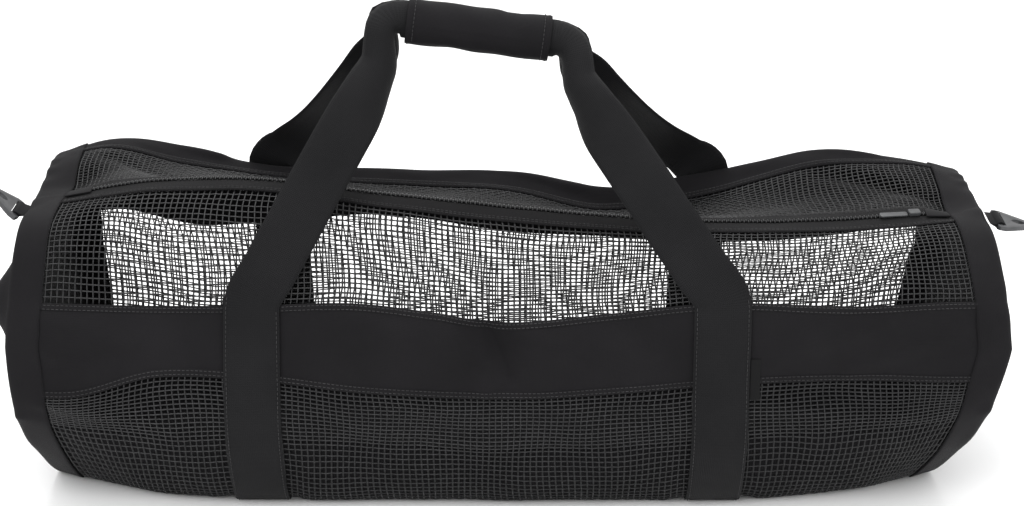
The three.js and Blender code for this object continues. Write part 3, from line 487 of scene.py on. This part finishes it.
# How far the hem of a trim stands over the panels, and how far its outer edge turns in
HEM_OUT, EDGE_TURN, EDGE_WIDTH = 1.4, 1.6, 6.0


def end_trim(name, side):
    """The strip bound round an end, lapped over the panels, with a turned outer edge."""
    xs = np.sort(np.linspace(side * (PANEL_END - TRIM_LAP / HALF), side * 1.0, 11))
    at = np.linspace(0, FEATURE_COUNT, 240, endpoint=False)[:, None] * np.ones((1, len(xs)))
    x = np.broadcast_to(xs[None, :], at.shape)
    p, n = dressed(x, at, HEM_OUT)
    p = p - n * (HEM_OUT * smooth(PANEL_END, 1.0, np.abs(x)))[..., None]
    edge = np.clip(1 - (1 - np.abs(x)) * HALF / EDGE_WIDTH, 0, 1)
    p = p - n * (edge ** 2 * EDGE_TURN)[..., None]
    pucker = 0.8 * np.sin(at * 9.0 + 2 * np.sin(at * 3)) * smooth(0.96, 1.0, np.abs(x))
    p += n * pucker[..., None]
    inner = p - n * CLOTH
    verts, faces = wall(p, inner, wrap=True)
    uv = cloth_uv(p)
    obj = make_piece(name + "_cloth", verts, faces, CLOTH_BLACK, "bag", np.concatenate([uv, uv]))
    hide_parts(name)


end_trim("end_trim_left", -1)
end_trim("end_trim_right", 1)


# Slack ends: how far the rim lies under the trim and in from its edge, how far the middle bulges, and the
# fold of the left end as y, z, half widths along both, and out, in shares of the depth and height
RIM_INSET, RIM_RECESS, RIM_LOWEST, END_BULGE = CLOTH + 1.0, 3.0, 2.5, 7.0
LEFT_FOLD = (0.12, 0.68, 0.13, 0.09, 0.075)


def end_height(q, centre, share, side):
    """How far the slack end stands out at its places: its bulge, the left fold and soft radial folds."""
    out = END_BULGE * (1 - share**2)[None, :] * np.ones((len(q), 1))
    held = smooth(0, 0.12, 1 - share)[None, :]
    if side < 0:
        y, z = q[..., 1] / BAG_DEPTH + 0.5, q[..., 2] / BAG_HEIGHT
        fold_y, fold_z, span_y, span_z, high = LEFT_FOLD
        bell = np.exp(-((y - fold_y) / span_y) ** 2 - ((z - fold_z) / span_z) ** 2)
        out = out + high * BAG_DEPTH * held * bell
    angle = np.arctan2(q[..., 2] - centre[2], q[..., 1] - centre[1])
    folds = np.sin(5 * angle + 3 * np.sin(2 * angle)) * 1.8 + np.sin(11 * angle + 1.5) * 0.7
    return out + folds * held * smooth(0.35, 0.95, share)[None, :]


def end_panel(name, side):
    """A slack round end set just inside its trim, closed at its middle by a fan of triangles."""
    at = np.linspace(0, FEATURE_COUNT, 180, endpoint=False)
    edge_point, edge_normal = dressed(np.full_like(at, float(side)), at)
    seam_point, seam_normal = dressed(np.full_like(at, side * PANEL_END), at)
    recess = RIM_RECESS / TRIM_WIDTH
    rim = ((edge_point - edge_normal * RIM_INSET) * (1 - recess)
           + (seam_point - seam_normal * RIM_INSET) * recess)
    rim[:, 2] = np.maximum(rim[:, 2], RIM_LOWEST)
    centre = rim.mean(0)
    share = np.linspace(1, 0.04, 34)
    outer = centre + (rim[:, None, :] - centre) * share[None, :, None]
    outer[..., 0] += side * end_height(outer, centre, share, side)
    inner = outer.copy()
    inner[..., 0] -= side * CLOTH
    verts, faces = wall(outer, inner, wrap=True, open_end=True)
    rows, cols = outer.shape[:2]
    ring = np.arange(rows) * cols + cols - 1
    after = np.roll(ring, -1)
    fan_out = np.stack([ring, after, np.full(rows, len(verts))], 1)
    fan_in = np.stack([after + rows * cols, ring + rows * cols, np.full(rows, len(verts) + 1)], 1)
    verts = np.concatenate([verts, [outer[:, -1].mean(0)], [inner[:, -1].mean(0)]])
    if side < 0:
        faces, fan_out, fan_in = faces[:, ::-1], fan_out[:, ::-1], fan_in[:, ::-1]
    tris = np.concatenate([faces[:, [0, 1, 2]], faces[:, [0, 2, 3]], fan_out, fan_in])
    uv = verts[:, 1:] * MM
    obj = make_piece(name + "_cloth", verts, tris, CLOTH_BLACK, "bag", uv)
    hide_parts(name)


end_panel("end_panel_left", -1)
end_panel("end_panel_right", 1)


# Net: crossing strands over the skin
# Pitch of the net, half width of a strand, its height as a share of that, and how far crossings lift
NET_PITCH, STRAND, STRAND_FLAT, CROSSING_LIFT = 5.5, 0.78, 0.8, 0.25


def rod(points, normal, count):
    """Sweeps a four-sided rod along rows of points [strand][step]."""
    along = np.gradient(points, axis=1)
    along /= np.linalg.norm(along, axis=2, keepdims=True)
    side = np.cross(normal, along)
    ring = np.stack([points + side * STRAND, points + normal * STRAND * STRAND_FLAT,
                     points - side * STRAND, points - normal * STRAND * STRAND_FLAT], 2)
    s, m = points.shape[:2]
    base = count + (np.arange(s)[:, None] * m + np.arange(m - 1)[None, :]) * 4
    quads = []
    for j in range(4):
        q = (j + 1) % 4
        quads.append(np.stack([base + j, base + 4 + j, base + 4 + q, base + q], -1).reshape(-1, 4))
    first = count + np.arange(s)[:, None] * m * 4 + np.arange(4)[None, :]
    last = first[:, ::-1] + (m - 1) * 4
    return ring.reshape(-1, 3), np.concatenate(quads + [first, last])


def strands(name, at_top, at_low, top_shift, low_shift, replaces, phase):
    """Net of crossing strands between two places of the section, each strand a thin four-sided rod."""
    cols = int(round(2 * PANEL_END * HALF / NET_PITCH))
    xs = np.linspace(-PANEL_END, PANEL_END, cols + 1)
    a = step_from(xs, at_top, top_shift)
    b = step_from(xs, at_low, low_shift)
    probe = plain_skin(np.zeros(60), np.linspace(at_top, at_low, 60))
    rows = int(round(np.linalg.norm(np.diff(probe, axis=0), axis=1).sum() / NET_PITCH))
    k = np.linspace(0, 1, rows + 1)[:, None]
    at = a[None, :] * (1 - k) + b[None, :] * k
    x = np.broadcast_to(xs[None, :], at.shape).copy()
    u, v = x * HALF, at * CREASE_ROW
    edge = np.minimum(k, 1 - k) * rows / 3
    ease = np.clip(edge, 0, 1) * np.clip((PANEL_END - np.abs(x)) * HALF / 12, 0, 1)
    drift_along = 1.5 * np.sin(v / 34 + u / 90 + phase) + 0.8 * np.sin(u / 23 + v / 17 + 2 * phase)
    drift_round = 1.4 * np.sin(u / 38 + v / 80 + 3 * phase) + 0.8 * np.sin(u / 15 - v / 21 + phase)
    x += ease * drift_along / HALF
    at += ease * drift_round / CREASE_ROW
    centre, n = dressed(x, at, -NET / 2)
    lift = CROSSING_LIFT * ((np.indices(at.shape).sum(0) % 2) * 2 - 1)[..., None] * n
    across, fa = rod(centre + lift, n, 0)
    down, fb = rod((centre - lift).transpose(1, 0, 2), n.transpose(1, 0, 2), len(across))
    verts = np.concatenate([across, down])
    faces = np.concatenate([fa, fb])[:, ::-1]
    verts[:, 2] = np.maximum(verts[:, 2], 0.05)
    obj = make_piece(name, verts, faces, NET_BLACK, "bag")
    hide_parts(replaces)


strands("front_upper_net", 0, 2, ZIP_HALF + SEAM_GAP, -HALF_GAP, "front_upper_mesh", 0.3)
strands("back_upper_net", 12, 14, HALF_GAP, -ZIP_HALF - SEAM_GAP, "back_upper_mesh", 1.7)
strands("lower_net_front", 3, 5.5, HALF_GAP, 0, "lower_mesh", 2.6)
strands("lower_net_back", 5.5, 10, 0, -HALF_GAP, "lower_mesh", 4.1)


# Seam bindings and stitches
BINDING_WIDTH, BINDING_OUT, BINDING_THICKNESS = 7.0, 0.15, 0.9


def binding(name, at, shift):
    """A narrow tape laid over a seam along the whole bag."""
    xs = along_bag(320)
    half = BINDING_WIDTH / 2
    rows = np.stack([step_from(xs, at, shift + d) for d in np.linspace(-half, half, 5)])
    x = np.broadcast_to(xs[None, :], rows.shape)
    crown = np.array([0.0, 0.7, 0.8, 0.7, 0.0])[:, None]
    outer, n = dressed(x, rows, 0.0)
    outer = outer + n * (BINDING_OUT + crown)[..., None]
    inner = outer - n * BINDING_THICKNESS
    verts, faces = wall(outer, inner)
    uv = cloth_uv(outer)
    make_piece(name, verts, faces, BINDING_BLACK, "bag", np.concatenate([uv, uv]))


binding("seam_front_top", 2, 2.5)
binding("seam_front_low", 3, -2.5)
binding("seam_back_low", 10, 2.5)
binding("seam_back_top", 12, -2.5)


def dashes(name, paths, length=2.6, gap=1.3, radius=0.32):
    """Rows of stitches: short raised dashes along each path of points and normals, in mm."""
    verts, faces, count = [], [], 0
    for points, normal in paths:
        points, normal = np.asarray(points, float), np.asarray(normal, float)
        d = np.concatenate([[0], np.cumsum(np.linalg.norm(np.diff(points, axis=0), axis=1))])
        starts = np.arange(0.5, d[-1] - length, length + gap)
        k = np.stack([starts, starts + length * 0.25, starts + length * 0.75, starts + length], 1)
        p = np.stack([np.interp(k, d, points[:, i]) for i in range(3)], -1)
        n = np.stack([np.interp(k, d, normal[:, i]) for i in range(3)], -1)
        n /= np.linalg.norm(n, axis=-1, keepdims=True)
        t = p[:, -1:] - p[:, :1]
        t = t / np.linalg.norm(t, axis=-1, keepdims=True)
        s = np.cross(n, t)
        high = np.array([-0.3, 0.9, 0.9, -0.3])[None, :, None] * radius
        mid = p + n * high
        ring = np.stack([mid + s * radius, mid + n * radius, mid - s * radius], 2)
        m = len(starts)
        verts.append(ring.reshape(-1, 3))
        b = count + np.arange(m)[:, None] * 12 + np.arange(3)[None, :] * 3
        for j in range(3):
            q = (j + 1) % 3
            f = np.stack([b + j, b + q, b + 3 + q, b + 3 + j], -1).reshape(-1, 4)
            faces.append(f)
        e = count + np.arange(m) * 12
        faces.append(np.stack([e, e + 2, e + 1, e + 1], 1))
        faces.append(np.stack([e + 9, e + 10, e + 11, e + 11], 1))
        count += m * 12
    faces = np.concatenate(faces)
    tris = np.concatenate([faces[:, [0, 1, 2]], faces[:, [0, 2, 3]]])
    tris = tris[(tris[:, 0] != tris[:, 1]) & (tris[:, 1] != tris[:, 2]) & (tris[:, 0] != tris[:, 2])]
    make_piece(name, np.concatenate(verts), tris, THREAD_GREY, "bag")


def skin_path(at, shift, out):
    """Points and normals along the bag at a distance from a feature."""
    xs = along_bag(299)
    return dressed(xs, step_from(xs, at, shift), out)


dashes("stitches_bands", [skin_path(2, 1.2, 0.85), skin_path(2, 4.6, 0.7), skin_path(3, -1.2, 0.85),
                          skin_path(3, -4.6, 0.7), skin_path(10, 1.2, 0.85), skin_path(10, 4.6, 0.7),
                          skin_path(12, -1.2, 0.85), skin_path(12, -4.6, 0.7)])


# Zip
# How far a tape runs on under the coil and under the net, and how far it stands out
TAPE_UNDER_COIL, TAPE_UNDER_NET, TAPE_OUT, TAPE_THICKNESS = 1.2, 1.5, 0.3, 1.0


def zip_tapes():
    xs = along_bag(320)
    near, far = COIL_WIDTH / 2 - TAPE_UNDER_COIL, ZIP_HALF + TAPE_UNDER_NET
    front = rows_between(xs, 0, near, 0, far, 8)
    back = rows_between(xs, FEATURE_COUNT, -far, FEATURE_COUNT, -near, 8)
    for name, rows in (("zip_tape_front", front), ("zip_tape_back", back)):
        panel(name + "_weave", xs, rows, TAPE_BLACK, name, out=TAPE_OUT, thickness=TAPE_THICKNESS)


def zip_coil():
    """The coil's two rows of hooped teeth, each tooth a small bent rod, meshing along the middle."""
    count = 385
    xs = np.linspace(-ZIP_END, ZIP_END, count)
    p, n = dressed(xs, np.zeros(count), 0.9)
    along = np.gradient(p, axis=0)
    along /= np.linalg.norm(along, axis=1, keepdims=True)
    across = np.cross(n, along)
    verts, faces = [], []
    hoop = np.array([(-3.0, 0.0), (-2.6, 0.9), (-0.6, 1.15), (0.9, 0.9), (1.2, 0.1)])
    for side in (-1, 1):
        pick = np.arange(0 if side < 0 else 1, count, 2)
        spine = p[pick][:, None] + across[pick][:, None] * (hoop[:, 0] * side)[None, :, None]
        spine = spine + n[pick][:, None] * hoop[:, 1][None, :, None]
        t = along[pick][:, None] * 0.75
        up = n[pick][:, None] * 0.55
        ring = np.stack([spine + t, spine + up, spine - t, spine - up], 2)
        m, steps = len(pick), len(hoop)
        base = len(np.concatenate(verts)) if verts else 0
        verts.append(ring.reshape(-1, 3))
        b = base + (np.arange(m)[:, None] * steps + np.arange(steps - 1)[None, :]) * 4
        for j in range(4):
            q = (j + 1) % 4
            f = np.stack([b + j, b + 4 + j, b + 4 + q, b + q], -1).reshape(-1, 4)
            faces.append(f if side > 0 else f[:, ::-1])
        e = base + np.arange(m) * steps * 4
        cap = np.stack([e, e + 1, e + 2, e + 3], 1)
        far = cap[:, ::-1] + (steps - 1) * 4
        faces += [cap, far] if side > 0 else [cap[:, ::-1], far[:, ::-1]]
    obj = make_piece("zip_coil_teeth", np.concatenate(verts), np.concatenate(faces), COIL_BLACK, "bag")
    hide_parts("zip_coil")


zip_tapes()
zip_coil()
dashes("stitches_zip", [skin_path(0, ZIP_HALF - 3, 0.35), skin_path(14, -ZIP_HALF + 3, 0.35),
                        skin_path(0, ZIP_HALF - 1, 0.35), skin_path(14, -ZIP_HALF + 1, 0.35)])


# Carrying webbing
# Places round the section that each strap lies on, from the middle of the bottom
FRONT_LAY = (6, 5.5, 5, 4.75, 4.5, 4.25, 4, 3.75, 3.5, 3.25, 3, 2.833, 2.667, 2.5, 2.333, 2.166, 2)
BACK_LAY = (6, 6.5, 7, 7.5, 8, 8.5, 9, 9.25, 9.5, 9.75, 10, 10.25, 10.5, 10.75, 11)
# Free part of a strap: share of the way up, out and up in strap widths, turn, lean and curl
RISES = {
    "front": (
        (0.14, 0.17, 0.04, 0, 0.35, 0),
        (0.32, 0.27, 0, 0, 0.35, 0),
        (0.5, 0.3, -0.04, 0, 0.3, 0.05),
        (0.68, 0.28, -0.12, 0, 0.1, 0.2),
        (0.82, 0.22, -0.26, 0, -0.3, 0.5),
        (0.92, 0.14, -0.34, 0, -0.7, 0.85),
    ),
    "back": (
        (0.14, 0.1, -0.04, 0.35, 0.35, 0),
        (0.32, 0.1, -0.08, 0.7, 0.35, 0),
        (0.5, 0.1, -0.12, 0.75, 0.3, 0.05),
        (0.68, 0.12, -0.2, 0.6, 0.1, 0.2),
        (0.82, 0.16, -0.3, 0.3, -0.3, 0.5),
        (0.92, 0.12, -0.34, 0, -0.7, 0.85),
    ),
}
GRIP_ALONG = np.array([math.cos(GRIP_TILT), 0, -math.sin(GRIP_TILT)])
STRAP_RADIUS = STRAP_WIDTH / 2 / GRIP_CURL


def strap_stations(which):
    """Places, sides and curls of a strap from the middle of the bottom, over the wrap and back down."""
    facing = -1 if which == "front" else 1
    lay = FRONT_LAY if which == "front" else BACK_LAY

    def laid(place, heading):
        rows = []
        for i, at in enumerate(lay):
            edges = np.array([place - STRAP_BED, place + STRAP_BED]) / HALF
            nrm = normals_of(skin, edges, np.full(2, float(at)))
            ends = skin(edges, np.full(2, float(at))) + nrm * (STRAP_GAP + STRAP_THICKNESS / 2)
            point, normal = ends.mean(0), unit(nrm.mean(0))
            side = unit(ends[1] - ends[0]) * heading
            if 5 <= at <= 7:
                point[2] = STRAP_THICKNESS / 2 + 0.1
                normal, side = np.array([0, 0, -1.0]), np.array([float(heading), 0, 0])
            if i == 0:
                point[1] += facing * SEAM_GAP / 2
            rows.append((point, normal, side, 0.0))
        return rows

    front = np.array([0, float(facing), 0])
    grip_side = unit(np.cross(front, GRIP_ALONG))
    reach = GRIP_LENGTH / 2 + GRIP_OVERRUN
    in_grip = [(GRIP_CENTRE + GRIP_ALONG * k * reach + front * STRAP_RADIUS, front, grip_side, GRIP_CURL)
               for k in np.linspace(-1, 1, 9)]

    def rise(start, end, outward):
        rows = []
        for way, out, up, turn, lean, curl in RISES[which]:
            point = start * (1 - way) + end * way
            point = point + np.array([0, facing * out * STRAP_WIDTH, up * STRAP_WIDTH])
            normal = unit(np.array([outward * math.sin(turn), facing * math.cos(turn), lean]))
            rows.append((point, normal, None, GRIP_CURL * curl))
        return rows

    left, right = laid(STRAP_PLACES[0], facing), laid(STRAP_PLACES[1], -facing)
    up = rise(left[-1][0], in_grip[0][0], -1)
    down = rise(right[-1][0], in_grip[-1][0], 1)
    return left + up + in_grip + down[::-1] + right[::-1], len(left)


def resample(values, knots, steps):
    """Smooth curve through rows of values, as a Catmull-Rom in the knots."""
    values, knots = np.asarray(values, float), np.asarray(knots, float)
    slopes = np.gradient(values, knots, axis=0)
    i = np.clip(np.searchsorted(knots, steps, side="right") - 1, 0, len(knots) - 2)
    h = (knots[i + 1] - knots[i])[:, None]
    k = (steps - knots[i])[:, None] / h
    return ((2 * k**3 - 3 * k**2 + 1) * values[i] + (k**3 - 2 * k**2 + k) * h * slopes[i]
            + (-2 * k**3 + 3 * k**2) * values[i + 1] + (k**3 - k**2) * h * slopes[i + 1])


def strap_grid(which, across=12, step=4.0):
    """Both faces of a strap as grids, with the middle line, normals, sides and lengths along it."""
    rows, laid = strap_stations(which)
    points = np.array([r[0] for r in rows])
    curls = np.array([[r[3]] for r in rows])
    forward = unit(np.gradient(points, axis=0))
    sides = []
    for (point, normal, side, _), f in zip(rows, forward):
        sides.append(side if side is not None else unit(np.cross(normal, f)))
    d = np.concatenate([[0], np.cumsum(np.linalg.norm(np.diff(points, axis=0), axis=1))])
    s = np.linspace(0, d[-1], int(d[-1] / step))
    p = resample(points, d, s)
    side = unit(resample(np.array(sides), d, s))
    curl = np.maximum(resample(curls, d, s), 0.001)[:, 0]
    f = unit(np.gradient(p, axis=0))
    side = unit(side - f * (side * f).sum(1, keepdims=True))
    normal = unit(np.cross(f, side))
    radius = STRAP_WIDTH / 2 / curl
    k = np.linspace(-1, 1, across + 1)
    grids = []
    free = smooth(d[laid - 1], d[laid - 1] + 60, s) * (1 - smooth(d[-laid] - 60, d[-laid], s))
    ripple = 0.8 * np.sin(s / 21) * free
    for shift in (STRAP_THICKNESS / 2, -STRAP_THICKNESS / 2):
        r = (radius + shift)[:, None]
        edge = np.where(np.abs(k) > 0.94, 0.55, 1.0)[None, :]
        g = (p[:, None] + side[:, None] * (r * np.sin(k[None] * curl[:, None]))[..., None]
             + normal[:, None] * (r * np.cos(k[None] * curl[:, None]) - radius[:, None])[..., None])
        g = g - normal[:, None] * (np.sign(shift) * (1 - edge) * STRAP_THICKNESS / 2)[..., None]
        g = g + normal[:, None] * (ripple[:, None] * (k[None] ** 2))[..., None]
        grids.append(g)
    return grids[0], grids[1], p, normal, side, s


# Length from each strap's end that is sewn down, and the stitch lines' place across it
SEWN_LENGTH, STITCH_ACROSS = 330, 0.9


def carry_straps():
    paths = []
    for which in ("front", "back"):
        outer, inner, mid, normal, side, along = strap_grid(which)
        verts, faces = wall(outer, inner)
        v = lengths(outer, 0)[:, 6] * MM
        u = np.linspace(0, STRAP_WIDTH, outer.shape[1]) * MM
        uv = np.stack(np.broadcast_arrays(u[None, :], v[:, None]), -1).reshape(-1, 2)
        strap = make_piece(f"carry_strap_{which}_webbing", verts, faces, WEBBING_BLACK, "bag",
                           np.concatenate([uv, uv]))
        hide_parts(f"carry_strap_{which}")
        for k in (-STITCH_ACROSS, STITCH_ACROSS):
            for sewn in (along < SEWN_LENGTH, along > along[-1] - SEWN_LENGTH):
                points = mid[sewn] + side[sewn] * k * STRAP_WIDTH / 2
                paths.append((points + normal[sewn] * (STRAP_THICKNESS / 2 + 0.1), normal[sewn]))
    dashes("stitches_straps", paths, length=2.8, gap=1.4, radius=0.3)


carry_straps()


# Wrap that holds the straps
def grip_wrap():
    """Round cloth wrap with an overlapping layer, hems, two dents and a row of stitches at each end."""
    up = np.cross([0, 1.0, 0], GRIP_ALONG)
    up = unit(up if up[2] > 0 else -up)
    front = np.array([0, -1.0, 0])
    bore, thick = STRAP_RADIUS + 1.5, 2.2
    rows, cols = 96, 60
    angle = np.linspace(0, 2 * math.pi, rows, endpoint=False)[:, None]
    k = np.linspace(-1, 1, cols)[None, :]
    dent = 2.2 * np.exp(-((k - 0.45) / 0.16) ** 2) * np.clip(np.sin(angle), 0, 1)
    dent = dent + 1.2 * np.exp(-((k + 0.3) / 0.2) ** 2) * np.clip(-np.sin(angle), 0, 1)
    turned = np.where(angle > math.pi, angle - 2 * math.pi, angle)
    lap = smooth(-2.35, -2.2, turned) * (1 - smooth(-0.9, -0.6, turned))
    hem = 0.5 * smooth(0.93, 0.96, np.abs(k))
    lump = 0.35 * np.sin(k * 9 + angle * 3)
    rolled = 0.8 * smooth(0.985, 1.0, np.abs(k))
    radius = bore + thick + 0.2 + lap + hem - dent + lump - rolled
    lining = np.full_like(radius, bore - 0.2)

    def place(r):
        return (GRIP_CENTRE + GRIP_ALONG * (k * GRIP_LENGTH / 2)[..., None] * np.ones((rows, 1, 1))
                + front * (r * np.cos(angle))[..., None] + up * (r * np.sin(angle))[..., None])

    outer, inner = place(np.maximum(radius, bore + 1.0)), place(lining)
    verts, faces = wall(outer, inner, wrap=True)
    faces = faces[:, ::-1]
    uv = np.stack(np.broadcast_arrays(k * GRIP_LENGTH / 2 * MM, angle * bore * MM), -1).reshape(-1, 2)
    obj = make_piece("grip_wrap_cloth", verts, faces, CLOTH_BLACK, "bag", np.concatenate([uv, uv]))
    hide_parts("grip_wrap")
    paths = []
    for kk in (0.9, -0.9):
        a = np.linspace(-2.0, 3.6, 80)
        r = bore + thick + 0.9
        outward = front * np.cos(a)[:, None] + up * np.sin(a)[:, None]
        paths.append((GRIP_CENTRE + GRIP_ALONG * kk * GRIP_LENGTH / 2 + outward * r, outward))
    dashes("stitches_wrap", paths)


grip_wrap()


# Small parts
def deselect():
    bpy.ops.object.select_all(action="DESELECT")


def bevelled_copy(node, name, material, body, width):
    """A smooth copy of a hard solid: doubles merged, edges rounded with a bevel."""
    deselect()
    obj = bpy.data.objects.new(name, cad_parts[node].data.copy())
    bpy.context.collection.objects.link(obj)
    bpy.context.view_layer.objects.active = obj
    obj.select_set(True)
    bpy.ops.object.mode_set(mode="EDIT")
    bpy.ops.mesh.select_all(action="SELECT")
    bpy.ops.mesh.remove_doubles(threshold=1e-5)
    bpy.ops.mesh.dissolve_limited(angle_limit=math.radians(2))
    bpy.ops.object.mode_set(mode="OBJECT")
    bevel = obj.modifiers.new("edges", "BEVEL")
    bevel.width = width
    bevel.segments = 3
    bevel.limit_method = "ANGLE"
    bevel.angle_limit = math.radians(40)
    bpy.ops.object.modifier_apply(modifier="edges")
    bpy.ops.object.shade_smooth_by_angle(angle=math.radians(40))
    obj.data.materials.clear()
    obj.data.materials.append(material)
    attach(obj, body)
    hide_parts(node)


bevelled_copy("end_ring_left", "end_ring_left_plastic", RING_GREY, "ring_left", 0.0008)
bevelled_copy("end_ring_right", "end_ring_right_plastic", RING_GREY, "ring_right", 0.0008)
bevelled_copy("zip_slider", "zip_slider_body", RING_GREY, "bag", 0.0008)
bevelled_copy("zip_pull", "zip_pull_tag", RING_GREY, "bag", 0.0004)
bevelled_copy("end_loop_left", "end_loop_left_webbing", WEBBING_BLACK, "bag", 0.0003)
bevelled_copy("end_loop_right", "end_loop_right_webbing", WEBBING_BLACK, "bag", 0.0003)
bevelled_copy("zip_tab_left", "zip_tab_left_cloth", BINDING_BLACK, "bag", 0.0004)
bevelled_copy("zip_tab_right", "zip_tab_right_cloth", BINDING_BLACK, "bag", 0.0004)
bevelled_copy("side_label", "side_label_cloth", LABEL_BLACK, "bag", 0.0002)


# Stage, lights and camera
FOCAL_PIXELS, PICTURE_WIDTH = 1970, 1024
CAMERA_AIM, CAMERA_TILT, CAMERA_DISTANCE = (0.0035, -0.152, 0.258), 19, 1.7


def stage():
    """Pale floor, even white surroundings and three soft lights."""
    deselect()
    bpy.ops.mesh.primitive_plane_add(size=12, location=(0, 0, -0.0005))
    floor = bpy.context.object
    floor.name = "pale_floor"
    paint, _, shader = node_material("pale_floor")
    shader.inputs["Base Color"].default_value = (0.95, 0.95, 0.95, 1)
    shader.inputs["Roughness"].default_value = 0.9
    floor.data.materials.append(paint)
    world = bpy.data.worlds.new("studio")
    bpy.context.scene.world = world
    world.use_nodes = True
    world.node_tree.nodes["Background"].inputs[0].default_value = (1, 1, 1, 1)
    world.node_tree.nodes["Background"].inputs[1].default_value = 1.0
    for name, place, aim, size, power in (
            ("key", (-1.2, -2.2, 2.6), (0, 0, 0.15), 2.2, 55),
            ("fill", (2.2, -1.6, 1.4), (0, 0, 0.15), 2.0, 22),
            ("top", (0, 0.6, 2.6), (0, 0, 0.2), 2.4, 45)):
        light = bpy.data.lights.new(name, "AREA")
        light.size = size
        light.energy = power
        lamp = bpy.data.objects.new(name, light)
        bpy.context.collection.objects.link(lamp)
        lamp.location = place
        lamp.rotation_euler = (Vector(aim) - Vector(place)).to_track_quat("-Z", "Y").to_euler()


def camera():
    """The photo's camera: its focal length in picture widths, aim, height angle and distance."""
    data = bpy.data.cameras.new("photo_camera")
    data.sensor_width = 36
    data.lens = FOCAL_PIXELS / PICTURE_WIDTH * data.sensor_width
    data.clip_end = 30
    cam = bpy.data.objects.new("photo_camera", data)
    bpy.context.collection.objects.link(cam)
    target = Vector(CAMERA_AIM)
    tilt = math.radians(CAMERA_TILT)
    cam.location = target + Vector((0, -math.cos(tilt), math.sin(tilt))) * CAMERA_DISTANCE
    cam.rotation_euler = (target - cam.location).to_track_quat("-Z", "Y").to_euler()
    bpy.context.scene.camera = cam


stage()
camera()
bpy.context.scene.view_settings.view_transform = "Standard"
